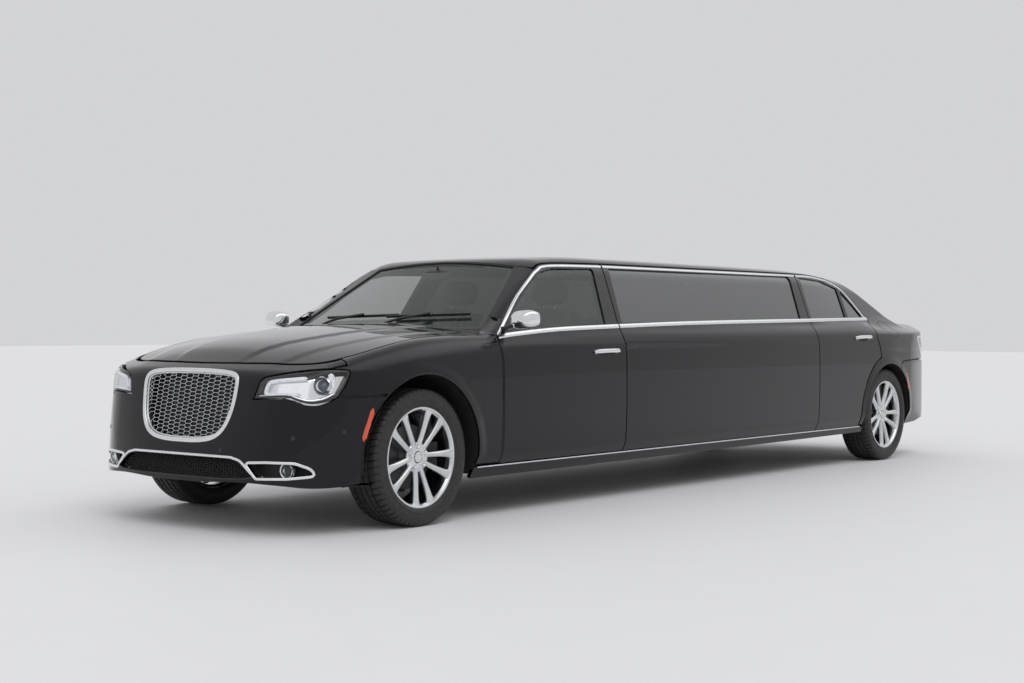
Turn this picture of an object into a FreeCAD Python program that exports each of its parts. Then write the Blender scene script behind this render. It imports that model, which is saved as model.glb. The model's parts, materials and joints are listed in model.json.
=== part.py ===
import FreeCAD, Part
import math
import os

# Stretch limousine: a full-size sedan cut behind its front doors, with a long fixed panel let
# in on each side.
# Millimetres. +X is the car's left, the nose points along -Y, +Z is up.
# The origin is on the ground, midway along the car and on its centre plane.

V = FreeCAD.Vector

# ---------------------------------------------------------------- driving dimensions
stretch_length = 2540.0      # 100 in let in behind the front doors
sedan_wheelbase = 3052.0
front_overhang = 890.0
rear_overhang = 1102.0
half_width = 951.0           # half the width over the wheel arches
ground_clearance = 200.0     # underside of the sills
belt_height = 1050.0         # belt line behind the front door
roof_height = 1515.0

tyre_radius = 364.0          # 245/45 R20
tyre_width = 245.0
rim_radius = 266.0           # over the flange
rim_width = 220.0
barrel_radius = 248.0
barrel_wall = 12.0
wheel_centre_x = 805.0       # half the track
spindle_radius = 32.0
spindle_clearance = 0.06
brake_disc_radius = 172.0
kingpin_inboard = 45.0       # kingpin axis inboard of the wheel's centre plane
front_arch_radius = 439.0
rear_arch_radius = 408.0
wheelhouse_depth = 335.0     # front wheelhouse, inboard of the wheel's centre plane
rear_wheelhouse_depth = 165.0

door_thickness = 88.0
frame_thickness = 46.0       # door and pillar thickness above the belt
panel_thickness = 40.0       # fenders and quarter panels
skin_thickness = 26.0        # hood, lid and roof
bumper_thickness = 60.0
floor_thickness = 40.0
glass_thickness = 6.0
glass_recess = 10.0          # side glass, in from the frame's outer face
shut_gap = 7.0               # round every panel that opens
hinge_gap = 12.0             # behind the hood and ahead of the lid
door_slant = 0.32            # inner rear edge of a door further forward, for each unit of depth
frame_slant = 0.7            # the same above the belt
sill_height = 88.0

door_front = 645.0           # front door's front edge, behind the front axle
door_split = 1870.0          # front door's rear edge, behind the front axle
frame_lean = 85.0            # top of a side panel's shut line, behind its foot at the belt
hood_rear = 620.0            # hood's rear corners, behind the front axle
hood_half_width = 800.0
lid_front = 460.0            # trunk lid's front edge, behind the rear axle
lid_half_width = 690.0
lid_bottom = 775.0

# ---------------------------------------------------------------- stations
wheelbase = sedan_wheelbase + stretch_length
overall_length = front_overhang + wheelbase + rear_overhang
front_axle_y = front_overhang - overall_length / 2
rear_axle_y = front_axle_y + wheelbase
nose_y = -overall_length / 2
tail_y = overall_length / 2
axle_z = tyre_radius
kingpin_x = wheel_centre_x - kingpin_inboard
sill_top = ground_clearance + sill_height
far = 3000.0                 # reach of the cutting solids
high = 2000.0


def fore(distance):
    """y of a place this far behind the front axle."""
    return front_axle_y + distance


def aft(distance):
    """y of a place this far behind the rear axle."""
    return rear_axle_y + distance


def belt(drop):
    """z of a place this far above the belt line."""
    return belt_height + drop


def roof(drop):
    """z of a place this far above the roof's top."""
    return roof_height + drop


split_y = fore(door_split)                       # front door to side panel
rear_split_y = aft(door_split - sedan_wheelbase)  # side panel to rear door
inner_x = half_width - door_thickness - 7        # inner face of the doors

# Lower body sections: y, out (x from half_width), low (z from ground_clearance),
# shoulder (z from belt), belt_in (x from half_width), belt (z from belt), crown (z from belt)
LOWER = [
    (nose_y - 60, -71, 35, -410, -131, -330, -290),
    (fore(-740), -51, 30, -350, -121, -270, -200),
    (fore(-450), -26, 18, -260, -96, -170, -98),
    (fore(-200), -7, 5, -195, -86, -110, -60),
    (fore(0), 0, 0, -165, -83, -72, -34),
    (fore(300), -3, 0, -145, -79, -52, -4),
    (fore(door_front), -7, 0, -120, -71, -48, 16),
    (split_y, -7, 3, -85, -67, 0, 60),
    (rear_split_y, -7, 15, -50, -85, 40, 100),
    (aft(-300), -3, 22, -40, -101, 60, 112),
    (aft(0), 0, 26, -35, -151, 42, 114),
    (aft(400), -14, 35, -35, -171, 34, 104),
    (aft(850), -44, 60, -45, -211, 26, 92),
    (tail_y + 60, -80, 80, -60, -251, 10, 70),
]

# Greenhouse sections: y, low (x from half_width at cabin_base), top (x from half_width),
# edge (z from roof), crown (z from roof)
cabin_base = belt(-50)
CABIN = [
    (fore(200), -74, -251, -190, -120),
    (fore(1250), -50, -256, -122, -42),
    (fore(1500), -45, -259, -92, -14),
    (split_y, -42, -261, -76, -3),
    (rear_split_y - 700, -42, -261, -60, 0),
    (rear_split_y, -46, -261, -62, -3),
    (aft(-600), -62, -271, -90, -25),
    (aft(-250), -72, -288, -118, -56),
    (aft(550), -150, -320, -170, -100),
    (aft(1400), -250, -380, -230, -150),
]

# Half plan outlines of the two ends, from the centre out: x from half_width, distance from the end.
# The points pair up as arcs, each a middle and an end.
NOSE_PLAN = [(-951, 0), (-671, 16), (-391, 60), (-211, 150), (-101, 290), (-46, 440), (9, 720)]
TAIL_PLAN = [(-951, 0), (-641, 13), (-331, 55), (-191, 120), (-111, 240), (-51, 460), (14, 800)]
# Side view of the two ends: distance from the end, z
NOSE_SIDE = [(90, 100), (90, 190), (0, 240), (12, 290), (30, 385), (42, 460), (120, 821), (199, 865),
             (420, 1000)]
TAIL_SIDE = [(150, 100), (150, 250), (40, 300), (0, 430), (0, 640), (22, 770), (80, 800), (100, 960),
             (135, 1110), (190, 1180)]

# Sloping glass: y and z of the base's centre, sag of its plan arc, half width of the arc,
# run for each unit of rise
WINDSHIELD = (fore(617), belt(16), 112, 755, 1.62)
BACKLIGHT = (aft(385), belt(119), -82, 620, -2.1)

# Side view outlines: y, z. The tops of the openings follow the roof rail.
FRONT_TOP = [
    (split_y, belt(15)), (split_y + frame_lean, roof(-63)), (fore(1420), roof(-75)),
    (fore(1265), roof(-110)), (fore(1143), roof(-175)),
    (fore(947), roof(-296)), (fore(790), roof(-401)), (fore(door_front), roof(-503)),
]
REAR_TOP = [
    (aft(-160), belt(-170)), (aft(-200), belt(-75)), (aft(-185), belt(-15)), (aft(-105), belt(75)),
    (aft(-160), belt(115)), (aft(-245), roof(-248)), (aft(-325), roof(-166)), (aft(-430), roof(-113)),
    (aft(-560), roof(-76)), (aft(-720), roof(-58)), (aft(-860), roof(-52)),
    (rear_split_y + frame_lean, roof(-52)), (rear_split_y, belt(50)),
]
door_ring = 72.0             # quarter panel between the wheel arch and the rear door
ring = rear_arch_radius + door_ring


def ring_point(degrees):
    """A point on the rear door's cut-out round the wheel arch, from straight ahead of the axle."""
    angle = math.radians(degrees)
    return (rear_axle_y - ring * math.cos(angle), axle_z + ring * math.sin(angle))


ring_low = math.degrees(math.asin((sill_top - axle_z) / ring))
ring_high = math.degrees(math.acos(150 / ring))
FRONT_DOOR = [(fore(door_front), sill_top), (split_y, sill_top)] + FRONT_TOP
REAR_DOOR = [(rear_split_y, sill_top), ring_point(ring_low),
             (ring_point((ring_low + ring_high) / 2), ring_point(ring_high))] + REAR_TOP
SIDE_PANEL = [(split_y, sill_top), (rear_split_y, sill_top), REAR_TOP[-1], REAR_TOP[-2], FRONT_TOP[1],
              FRONT_TOP[0]]
WINDOWS = {
    "front": [[
        (fore(775), belt(-14)), (fore(1738), belt(22)), (fore(1840), roof(-100)), (fore(1420), roof(-110)),
        (fore(1290), roof(-138)), (fore(1165), roof(-205)), (fore(970), roof(-326)), (fore(850), roof(-411)),
    ]],
    "side": [[
        (split_y + 52, belt(34)), (rear_split_y - 130, belt(66)), (rear_split_y - 25, roof(-80)),
        (split_y + 145, roof(-94)),
    ]],
    "rear": [
        [(rear_split_y + 52, belt(76)), (aft(-520), belt(88)), (aft(-448), roof(-153)),
         (aft(-680), roof(-98)), (rear_split_y + 135, roof(-80))],
        [(aft(-468), belt(90)), (aft(-195), belt(92)), (aft(-290), roof(-262)), (aft(-398), roof(-168))],
    ],
}


# ---------------------------------------------------------------- shape helpers
def edges(path, place):
    """Edges along a path: a first point, then points for lines or (mid, end) pairs for arcs."""
    made = []
    at = place(*path[0])
    for step in path[1:]:
        if isinstance(step[0], tuple):
            end = place(*step[1])
            made.append(Part.Arc(at, place(*step[0]), end).toShape())
        else:
            end = place(*step)
            made.append(Part.LineSegment(at, end).toShape())
        at = end
    return made


def wire(path, place):
    return Part.Wire(edges(path + [path[0]], place))


def side_prism(path, x0, x1, slant=0.0, grow=0.0):
    """A side view outline (y, z) extruded from x0 to x1, moving forward by slant for each unit."""
    outline = wire(path, lambda y, z: V(x0, y, z))
    if grow:
        outline = outline.makeOffset2D(grow, 2, False, False, False)
    return Part.Face(outline).extrude(V(x1 - x0, -slant * abs(x1 - x0), 0))


def front_prism(path, y0, y1):
    return Part.Face(wire(path, lambda x, z: V(x, y0, z))).extrude(V(0, y1 - y0, 0))


def plan_prism(path, z0, z1, grow=0.0):
    outline = wire(path, lambda x, y: V(x, y, z0))
    if grow:
        outline = outline.makeOffset2D(grow, 2, False, False, False)
    return Part.Face(outline).extrude(V(0, 0, z1 - z0))


def box(x0, x1, y0, y1, z0, z1):
    return Part.makeBox(x1 - x0, y1 - y0, z1 - z0, V(x0, y0, z0))


def rod(radius, start, end):
    along = end.sub(start)
    return Part.makeCylinder(radius, along.Length, start, along)


def moved(shape, x=0.0, y=0.0, z=0.0):
    copy = shape.copy()
    copy.translate(V(x, y, z))
    return copy


def mirrored(shape):
    return shape.mirror(V(0, 0, 0), V(1, 0, 0))


def common(*shapes):
    made = shapes[0]
    for shape in shapes[1:]:
        made = made.common(shape)
    return made


def fused(*shapes):
    made = shapes[0].fuse(list(shapes[1:])) if len(shapes) > 1 else shapes[0]
    return made.removeSplitter()


def pair(shape):
    """Left and right copies of a left piece."""
    return Part.makeCompound([shape, mirrored(shape)])


# ---------------------------------------------------------------- body envelopes
def lower_section(row):
    """Closed section of the lower body: straight flanks, with one arc over the top."""
    y, out, low, shoulder, belt_in, belt_z, crown = row
    w = half_width + out
    bottom = ground_clearance + low
    crease = belt(shoulder)
    left = [
        (w - 66, bottom), (w - 36, bottom + sill_height), (w - 7, bottom + 160),
        (w, (bottom + 30 + crease) / 2), (w - 4, crease - 110), (w - 20, crease),
        (half_width + belt_in, belt(belt_z)),
    ]
    right = [(-x, z) for x, z in reversed(left)]
    return wire(left + [((0.0, belt(crown)), right[0])] + right[1:], lambda x, z: V(x, y, z))


def plan_path(plan, end_y, inward, inset):
    """Arcs round the nose or tail, from the right corner to the left one, moved in by inset."""
    right = [(-(half_width + x - inset), end_y + inward * (d + inset)) for x, d in reversed(plan[1:])]
    left = [(half_width + x - inset, end_y + inward * (d + inset)) for x, d in plan[1:]]
    run = right + [(0.0, end_y + inward * inset)] + left
    return [run[0]] + [(run[i], run[i + 1]) for i in range(1, len(run) - 1, 2)]


def plan_outline(inset=0.0):
    nose = plan_path(NOSE_PLAN, nose_y, 1, inset)
    tail = plan_path(TAIL_PLAN, tail_y, -1, inset)
    back = [(-x, y) for x, y in [tail[0]]]
    for (mx, my), (ex, ey) in tail[1:]:
        back.append(((-mx, my), (-ex, ey)))
    return nose + back


def cabin_section(row):
    """Closed section of the greenhouse, with a rounded roof rail."""
    y, low, top, edge, crown = row
    base, rail, peak = half_width + low, half_width + top, roof(crown)
    bend_x, bend_z = rail - 30, roof(edge) + 0.62 * (crown - edge)
    brow_x, brow_z = rail - 95, peak - 14
    left = [(base, cabin_base), (rail, roof(edge)), ((bend_x, bend_z), (brow_x, brow_z))]
    right = [((-bend_x, bend_z), (-rail, roof(edge))), (-base, cabin_base)]
    return wire(left + [((0.0, peak), (-brow_x, brow_z))] + right, lambda x, z: V(x, y, z))


def glass_wedge(glass, behind):
    """Everything on the inner side of a sloping window's curved face."""
    y, z, sag, reach, run = glass
    z0, rise = z - 500, high - z + 500

    def place(x, back):
        return V(x, y + back + run * (z0 - z), z0)

    wide = half_width + 60
    path = [(-wide, sag * 0.75), (-reach, sag), ((0.0, 0.0), (reach, sag)), (wide, sag * 0.75),
            (wide, behind * 9000), (-wide, behind * 9000)]
    return Part.Face(wire(path, place)).extrude(V(0, run * rise, rise))


lower_loft = Part.makeLoft([lower_section(row) for row in LOWER], True, True)
end_faces = [(nose_y + d, z) for d, z in NOSE_SIDE] + [(tail_y - d, z) for d, z in reversed(TAIL_SIDE)]
ends = side_prism(end_faces, -far, far)
lower = common(lower_loft, plan_prism(plan_outline(), 0, high), ends)
cabin_loft = Part.makeLoft([cabin_section(row) for row in CABIN], True, True)
windshield_side = glass_wedge(WINDSHIELD, 1)
backlight_side = glass_wedge(BACKLIGHT, -1)
cabin = common(cabin_loft, windshield_side, backlight_side)

# Walls: the greenhouse shell, and the lower body's skin with an open underside.
screen_rim = 100.0           # shell behind the sloping glass
cabin_void = common(moved(cabin_loft, x=-frame_thickness), moved(cabin_loft, x=frame_thickness),
                    moved(cabin_loft, z=-skin_thickness), moved(windshield_side, y=screen_rim),
                    moved(backlight_side, y=-screen_rim))
shell = cabin.cut(cabin_void)
core = common(moved(lower, x=-panel_thickness), moved(lower, x=panel_thickness),
              moved(lower, z=-skin_thickness), plan_prism(plan_outline(bumper_thickness), 0, high))
skin = lower.cut(core)


def block(x0, x1, z0, z1, y0=-2 * far, y1=2 * far):
    """A cutting box, as long as the car unless y is given."""
    return box(x0, x1, y0, y1, z0, z1)


WHEELHOUSES = [
    (front_axle_y, front_arch_radius, wheelhouse_depth),
    (rear_axle_y, rear_arch_radius, rear_wheelhouse_depth),
]


def wheelhouse(y, radius, depth, grow=0.0):
    """Space round the left wheel of an axle: a round top with straight sides down to the ground."""
    x0, x1 = wheel_centre_x - depth - grow, half_width + 200
    top = rod(radius + grow, V(x0, y, axle_z), V(x1, y, axle_z))
    return top.fuse(box(x0, x1, y - radius - grow, y + radius + grow, -50, axle_z))


wheelhouses = Part.makeCompound([pair(wheelhouse(*row)) for row in WHEELHOUSES])
left_wheelhouses = Part.makeCompound([wheelhouse(*row) for row in WHEELHOUSES])


# ---------------------------------------------------------------- doors and side panels
def window_holes(name):
    return [side_prism(path, 0, far) for path in WINDOWS[name]]


def side_glass(name):
    """Left panes of a side opening, filling their holes in the frame."""
    outer = moved(cabin_loft, x=-glass_recess)
    inner = moved(cabin_loft, x=-glass_recess - glass_thickness)
    sheet = common(cabin_loft, outer).cut(inner)
    return Part.makeCompound([common(sheet, hole) for hole in window_holes(name)])


def swing_prism(outline, slant, skin_low, skin_rise):
    """The outline's prism, its rear face leaning forward inboard of x = skin_low + skin_rise * z."""
    sheared = []
    for step in outline:
        points = step if isinstance(step[0], tuple) else (step,)
        leaned = tuple((y - slant * (skin_low + skin_rise * z), z) for y, z in points)
        sheared.append(leaned if isinstance(step[0], tuple) else leaned[0])
    outline = wire(sheared, lambda y, z: V(0, y, z)).makeOffset2D(-shut_gap, 2, False, False, False)
    return Part.Face(outline).extrude(V(far, slant * far, 0))


def door(outline, window, row):
    """Left door: a thick lower half and a thin frame, its inner rear edge cut to swing clear."""
    plain = side_prism(outline, far, 0, grow=-shut_gap)
    _, base, rail, edge, _ = row
    rise = (rail - base) / (roof(edge) - cabin_base)
    low_swing = swing_prism(outline, door_slant, half_width - 7, 0)
    frame_swing = swing_prism(outline, frame_slant, half_width + base - rise * cabin_base, rise)
    low = common(lower, plain, block(inner_x, far, 0, belt(25)), low_swing)
    frame = common(shell, plain, block(0, far, belt(-45), high), frame_swing)
    frame = frame.cut(moved(cabin_loft, x=-frame_thickness))
    return fused(low, frame).cut(window_holes(window))


def mirror_housing():
    """Left door mirror: a rounded housing on a short arm."""
    width, depth, height, rounding = 148, 112, 112, 28
    inner, y, z = half_width - 26, fore(door_front + 60), belt(-14)
    head = box(inner, inner + width, y, y + depth, z, z + height)
    head = head.makeFillet(rounding, head.Edges)
    arm = box(inner - 62, inner + 16, y + 30, y + depth - 22, z + 6, z + 40)
    return fused(head, arm)


parts = {}
doors = {
    "front_door": door(FRONT_DOOR, "front", CABIN[3]),
    "rear_door": door(REAR_DOOR, "rear", CABIN[7]),
}
doors["front_door_glass"] = side_glass("front")
doors["rear_door_glass"] = side_glass("rear")
housing = mirror_housing()
doors["mirror"] = housing.cut(doors["front_door"]).cut(doors["front_door_glass"])
for name, shape in doors.items():
    parts[name + "_left"] = shape
    parts[name + "_right"] = mirrored(shape)

side_low = common(lower, side_prism(SIDE_PANEL, far, inner_x), block(inner_x, far, 0, belt(60)))
side_frame = common(shell, side_prism(SIDE_PANEL, far, 0))
parts["side_panels"] = pair(fused(side_low, side_frame).cut(window_holes("side")))
parts["side_windows"] = pair(side_glass("side"))

# ---------------------------------------------------------------- greenhouse
seam_y, seam_z, seam_x = fore(1262), roof(-100), half_width - 391
SCREEN = [(-755, belt(-10)), (755, belt(-10)), (552, seam_z), ((0, roof(-62)), (-552, seam_z))]
REAR_SCREEN = [(-630, belt(96)), (630, belt(96)), (548, roof(-96)), ((0, roof(-72)), (-548, roof(-96)))]
screen_hole = front_prism(SCREEN, fore(0), fore(1500))
rear_screen_hole = front_prism(REAR_SCREEN, aft(-700), aft(700))
pillar_clearance = 40.0      # fixed pillar, in from a door frame's inner face
frame_inside = moved(cabin_loft, x=-frame_thickness - pillar_clearance)
door_band = side_prism(FRONT_DOOR, 0, far).cut(frame_inside)
pillar = common(shell, block(0, far, belt(-44), seam_z, y0=fore(door_front), y1=seam_y))
pillar = pillar.cut(screen_hole).cut(door_band)
hinge_post_x, hinge_post_y, hinge_post_width = 750.0, fore(560), 50.0
post = box(hinge_post_x, hinge_post_x + hinge_post_width, hinge_post_y, hinge_post_y + 75, sill_top,
           belt(-90))
parts["a_pillars"] = pair(fused(pillar, post))

openings = [side_prism(path, -far, far) for path in (FRONT_DOOR, SIDE_PANEL, REAR_DOOR)]
roof_zone = fused(block(-far, far, roof(-160), high, y1=aft(-560)),
                  block(-seam_x, seam_x, roof(-160), high, y0=aft(-560)))
top = shell.cut(openings).cut([screen_hole, rear_screen_hole, block(-far, far, 0, seam_z, y1=seam_y)])
parts["roof"] = common(top, roof_zone)
parts["windshield"] = common(windshield_side, screen_hole).cut(
    moved(windshield_side, y=glass_thickness * math.hypot(1, WINDSHIELD[4]))).cut(lower)
parts["rear_window"] = common(backlight_side, rear_screen_hole).cut(
    moved(backlight_side, y=-glass_thickness * math.hypot(1, BACKLIGHT[4]))).cut(lower)

# ---------------------------------------------------------------- hood, fenders, front end
# Plan of the hood's left half: x, distance behind the front axle
HOOD_HALF = [(300, -760), (600, -760), (700, -660), (790, -520), (hood_half_width, -400),
             (hood_half_width, 100), (hood_half_width - 32, hood_rear)]
hood_left = [(x, fore(d)) for x, d in HOOD_HALF[1:]]
hood_right = [(-x, y) for x, y in reversed(hood_left)]
HOOD = hood_left + [((0.0, fore(hood_rear - 95)), hood_right[0])] + hood_right[1:] \
    + [(-560, nose_y), (560, nose_y)]
hood_lip = belt(-215)
lamp_rear_y, bumper_rear_y = fore(-575), fore(-285)
# Side view outline of a fender; front view outlines (x, z) of the lamps and grilles
FENDER = [(fore(-700), hood_lip), (lamp_rear_y, hood_lip), (lamp_rear_y, belt(-356)),
          (bumper_rear_y, belt(-346)), (bumper_rear_y, sill_top), (fore(door_front), sill_top),
          (fore(door_front), high), (fore(-700), high)]
HEADLIGHT = [(455, belt(-370)), (575, belt(-250)), (760, belt(-234)), (890, belt(-222)),
             (905, belt(-356)), (700, belt(-372))]
GRILLE = [(262, belt(-570)), (300, belt(-556)), (336, belt(-250)), (322, belt(-232))]
LOWER_GRILLE = [(545, belt(-738)), (585, belt(-725)), (400, belt(-668)), (370, belt(-662))]


def both_sides(path):
    """A symmetric front view outline from its left half."""
    return path + [(-x, z) for x, z in reversed(path)]


grille_hole = front_prism(both_sides(GRILLE), nose_y - 50, fore(-500))
lower_grille_hole = front_prism(both_sides(LOWER_GRILLE), nose_y - 50, fore(-500))
lamp_hole = front_prism(HEADLIGHT, nose_y - 50, lamp_rear_y)
lamp_holes = pair(lamp_hole)
hood_hole = plan_prism(HOOD, hood_lip, high)
cowl_half = hood_half_width - 32
cowl_zone = block(-cowl_half, cowl_half, belt(-80), high, y0=fore(480), y1=fore(door_front + 140))

parts["hood"] = common(skin, plan_prism(HOOD, hood_lip + shut_gap, high, grow=-shut_gap))
fender = common(skin, side_prism(FENDER, 0, far)).cut([hood_hole, cowl_zone, lamp_hole, left_wheelhouses])
fender = max(fender.Solids, key=lambda solid: solid.Volume)
parts["front_fenders"] = pair(fender)
nose_holes = [side_prism(FENDER, -far, far), lamp_holes, grille_hole, lower_grille_hole, wheelhouses]
parts["front_bumper"] = common(skin, block(-far, far, 0, hood_lip, y1=bumper_rear_y)).cut(nose_holes)
parts["headlights"] = common(skin, lamp_holes)
parts["grille"] = common(skin, grille_hole)
parts["lower_grille"] = common(skin, lower_grille_hole)
cowl = common(skin, cowl_zone).cut(hood_hole).cut(windshield_side)
parts["cowl"] = max(cowl.Solids, key=lambda solid: solid.Volume)

# ---------------------------------------------------------------- quarters, trunk, rear end
bumper_seam, bumper_front_y = belt(-275), aft(330)
QUARTER = [(aft(-ring - 4), sill_top), (bumper_front_y, sill_top), (bumper_front_y, bumper_seam),
           (tail_y + 10, bumper_seam), (tail_y + 10, high), (aft(-700), high), (aft(-700), sill_top)]
TAILLIGHT = [(705, belt(-262)), (845, belt(-262)), (905, belt(-50)), (720, belt(-36))]
tail_lamp_hole = front_prism(TAILLIGHT, aft(760), tail_y + 50)
lid_zone = box(-lid_half_width, lid_half_width, aft(lid_front), tail_y + 50, lid_bottom, high)
quarter_holes = [side_prism(REAR_DOOR, -far, far), lid_zone, pair(tail_lamp_hole), wheelhouses,
                 block(-far, far, belt(-60), high, y1=aft(-190))]
quarter_low = common(skin, side_prism(QUARTER, -far, far)).cut(quarter_holes)
upper_zone = block(seam_x, far, belt(-44), high, y0=aft(-560))
quarter_top = common(shell, fused(upper_zone, mirrored(upper_zone)))
quarter_top = quarter_top.cut(openings).cut(rear_screen_hole).cut(lid_zone)
parts["quarter_panels"] = quarter_low.fuse(quarter_top)
parts["taillights"] = common(skin, pair(tail_lamp_hole))
lid_reach = lid_half_width - shut_gap
trunk_lid = common(skin, box(-lid_reach, lid_reach, aft(lid_front) + hinge_gap, tail_y + 50,
                             lid_bottom + shut_gap, high))
tip_x, tip_z, tip_radius = 560.0, 315.0, 40.0
tip_holes = pair(rod(tip_radius + 8, V(tip_x, aft(600), tip_z), V(tip_x, tail_y + 50, tip_z)))
rear_bumper = common(skin, block(-far, far, 0, bumper_seam, y0=bumper_front_y))
parts["rear_bumper"] = rear_bumper.cut([wheelhouses, tip_holes])
plate_spacing, plate_z, plate_hole_radius = 178.0, belt(-180), 3.5
plate_hole = rod(plate_hole_radius, V(plate_spacing / 2, tail_y - 300, plate_z),
                 V(plate_spacing / 2, tail_y + 50, plate_z))
parts["trunk_lid"] = trunk_lid.cut(pair(plate_hole))

# ---------------------------------------------------------------- floor, sills, dividers
sill_inner = 785.0
trunk_floor_z = 430.0
rear_kick = aft(-rear_arch_radius - 30)
rear_kick_z = 560.0
floor_z = ground_clearance + 30
tail_inner = tail_y - bumper_thickness - 40
trunk_front = aft(rear_arch_radius + 20)
carpet_z = floor_z + floor_thickness
kick_inner = rear_kick - floor_thickness
step_rear = trunk_front + floor_thickness
FLOORS = {
    "floor_pan": [
        (fore(560), floor_z), (rear_kick, floor_z), (rear_kick, rear_kick_z - floor_thickness),
        (trunk_front, rear_kick_z - floor_thickness), (trunk_front, rear_kick_z),
        (kick_inner, rear_kick_z), (kick_inner, carpet_z), (fore(560), carpet_z),
    ],
    "trunk_floor": [
        (trunk_front, trunk_floor_z), (tail_inner, trunk_floor_z),
        (tail_inner, trunk_floor_z + floor_thickness), (step_rear, trunk_floor_z + floor_thickness),
        (step_rear, rear_kick_z), (trunk_front, rear_kick_z),
    ],
}
liner_wall = 6.0
for name, outline in FLOORS.items():
    floor = common(side_prism(outline, -sill_inner, sill_inner), core)
    parts[name] = floor.cut([pair(wheelhouse(*row, grow=liner_wall)) for row in WHEELHOUSES])
arch_gap = 4.0
sill_run = box(sill_inner, far, fore(front_arch_radius + arch_gap), aft(-rear_arch_radius - arch_gap), 0,
               sill_top)
jack_x, jack_drop, jack_half = half_width - 110, 12.0, (30, 45)
jacks = [box(jack_x - jack_half[0], jack_x + jack_half[0], y - jack_half[1], y + jack_half[1],
             ground_clearance - jack_drop, ground_clearance + 60)
         for y in (fore(820), aft(-rear_arch_radius - 260))]
parts["sills"] = pair(fused(common(lower_loft, sill_run), *jacks))
dash_half_width = 740.0
firewall = block(-dash_half_width, dash_half_width, carpet_z, belt(-85), y0=fore(520), y1=fore(545))
parts["firewall"] = firewall.cut(pair(wheelhouse(*WHEELHOUSES[0], grow=liner_wall)))


def liner(row):
    """A left wheelhouse liner: the top of the wheelhouse as a thin shell, closed on its inner side."""
    y, radius, depth = row
    outer, inner = wheelhouse(*row, grow=liner_wall), wheelhouse(*row)
    rim_x = half_width - panel_thickness - 75
    zone = box(0, rim_x, y - 2 * radius, y + 2 * radius, sill_top + 40, high)
    return common(outer.cut(inner), zone, core)


parts["wheel_liners"] = Part.makeCompound([pair(liner(row)) for row in WHEELHOUSES])

# ---------------------------------------------------------------- cabin
dash_front, dash_rear, dash_low = fore(700), fore(1010), 760.0
dash = side_prism([(dash_front, dash_low), (dash_front, belt(-60)), (fore(800), belt(-30)),
                   (dash_rear, belt(-60)), (dash_rear, dash_low)], -dash_half_width, dash_half_width)
driver_x = 370.0
wheel_at = V(driver_x, fore(1130), belt(-85))
wheel_reach, wheel_grip = 182.0, 14.0
column = V(0, 1, 0.36).normalize()
steering_wheel = Part.makeTorus(wheel_reach, wheel_grip, wheel_at, column)
hub = Part.makeCylinder(60, 50, wheel_at.sub(column * 20), column)
spoke_bar = box(driver_x - wheel_reach + 2, driver_x + wheel_reach - 2, -12, 12, -wheel_grip, wheel_grip)
spoke_bar.translate(V(0, wheel_at.y, wheel_at.z))
shaft = rod(24, wheel_at.sub(column * 160), wheel_at)
parts["steering_wheel"] = fused(steering_wheel, hub, spoke_bar, shaft)
parts["dashboard"] = dash.cut(shaft)

cushion_low, cushion_top, back_height = 130.0, 290.0, 620.0   # above the carpet
cushion_length, back_front, back_thickness = 530.0, 430.0, 130.0
front_seat_y, front_seat_width = fore(1130), 520.0


def seat(x, y, width, back_rake):
    """A forward-facing seat: base, cushion and raked back, facing the nose."""
    x0, x1 = x - width / 2, x + width / 2
    base = box(x0 + 40, x1 - 40, y, y + cushion_length - 110, carpet_z, carpet_z + cushion_low)
    cushion = box(x0, x1, y - 30, y + cushion_length - 30, carpet_z + cushion_low, carpet_z + cushion_top)
    foot, lean = y + back_front, back_height * back_rake
    low, top = carpet_z + cushion_top, carpet_z + cushion_top + back_height
    back = side_prism([(foot, low), (foot + back_thickness, low), (foot + back_thickness + lean, top),
                       (foot + lean, top)], x0, x1)
    return fused(base, cushion, back)


def front_seat(x):
    """A seat with a headrest on a short post."""
    rake = 0.3
    at = front_seat_y + back_front + 15 + back_height * rake
    top = carpet_z + cushion_top + back_height
    headrest = box(x - 140, x + 140, at, at + 100, top + 2, top + 180)
    post = box(x - 60, x + 60, at + 9, at + 59, top - 30, top + 20)
    return fused(seat(x, front_seat_y, front_seat_width, rake), headrest, post)


parts["front_seats"] = pair(front_seat(driver_x))
rear_seat_y = kick_inner - 610
trim_x = sill_inner - 10
rear_seat = seat(0, rear_seat_y, 2 * (sill_inner - 95), 0.25)
bench_depth, bench_back = 490.0, 120.0
bench_front, bench_rear = split_y + 380, rear_seat_y - 300
side_bench = fused(
    box(-trim_x, -trim_x + bench_depth, bench_front, bench_rear, carpet_z, carpet_z + cushion_top),
    box(-trim_x, -trim_x + bench_back, bench_front, bench_rear, carpet_z + cushion_top, carpet_z + 680))
parts["saloon_seats"] = Part.makeCompound([rear_seat, side_bench])
bar_front, bar_length, bar_depth, bar_height = split_y + 500, 1100.0, 320.0, 560.0
parts["bar_cabinet"] = box(trim_x - bar_depth, trim_x, bar_front, bar_front + bar_length, carpet_z,
                           carpet_z + bar_height)
partition_y, partition_thickness = split_y + 120, 30.0
parts["partition"] = box(-trim_x, trim_x, partition_y, partition_y + partition_thickness, carpet_z,
                         belt(-30))

# ---------------------------------------------------------------- engine, suspension, exhaust
parts["engine_block"] = block(-280, 280, 330, belt(-190), y0=fore(-260), y1=fore(440))
rail_inner, rail_outer = 370.0, 440.0
rail_low, rail_high = 400.0, 500.0
cradle_low, cradle_high = 240.0, 300.0
rail = block(rail_inner, rail_outer, rail_low, rail_high, y0=nose_y + 130, y1=fore(520))
cradle = block(-rail_outer, rail_outer, cradle_low, cradle_high, y0=fore(-120), y1=fore(120))
upright = block(rail_inner, rail_outer, cradle_high, rail_low, y0=fore(-60), y1=fore(60))
parts["front_frame"] = fused(rail, mirrored(rail), cradle, upright, mirrored(upright))

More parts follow.
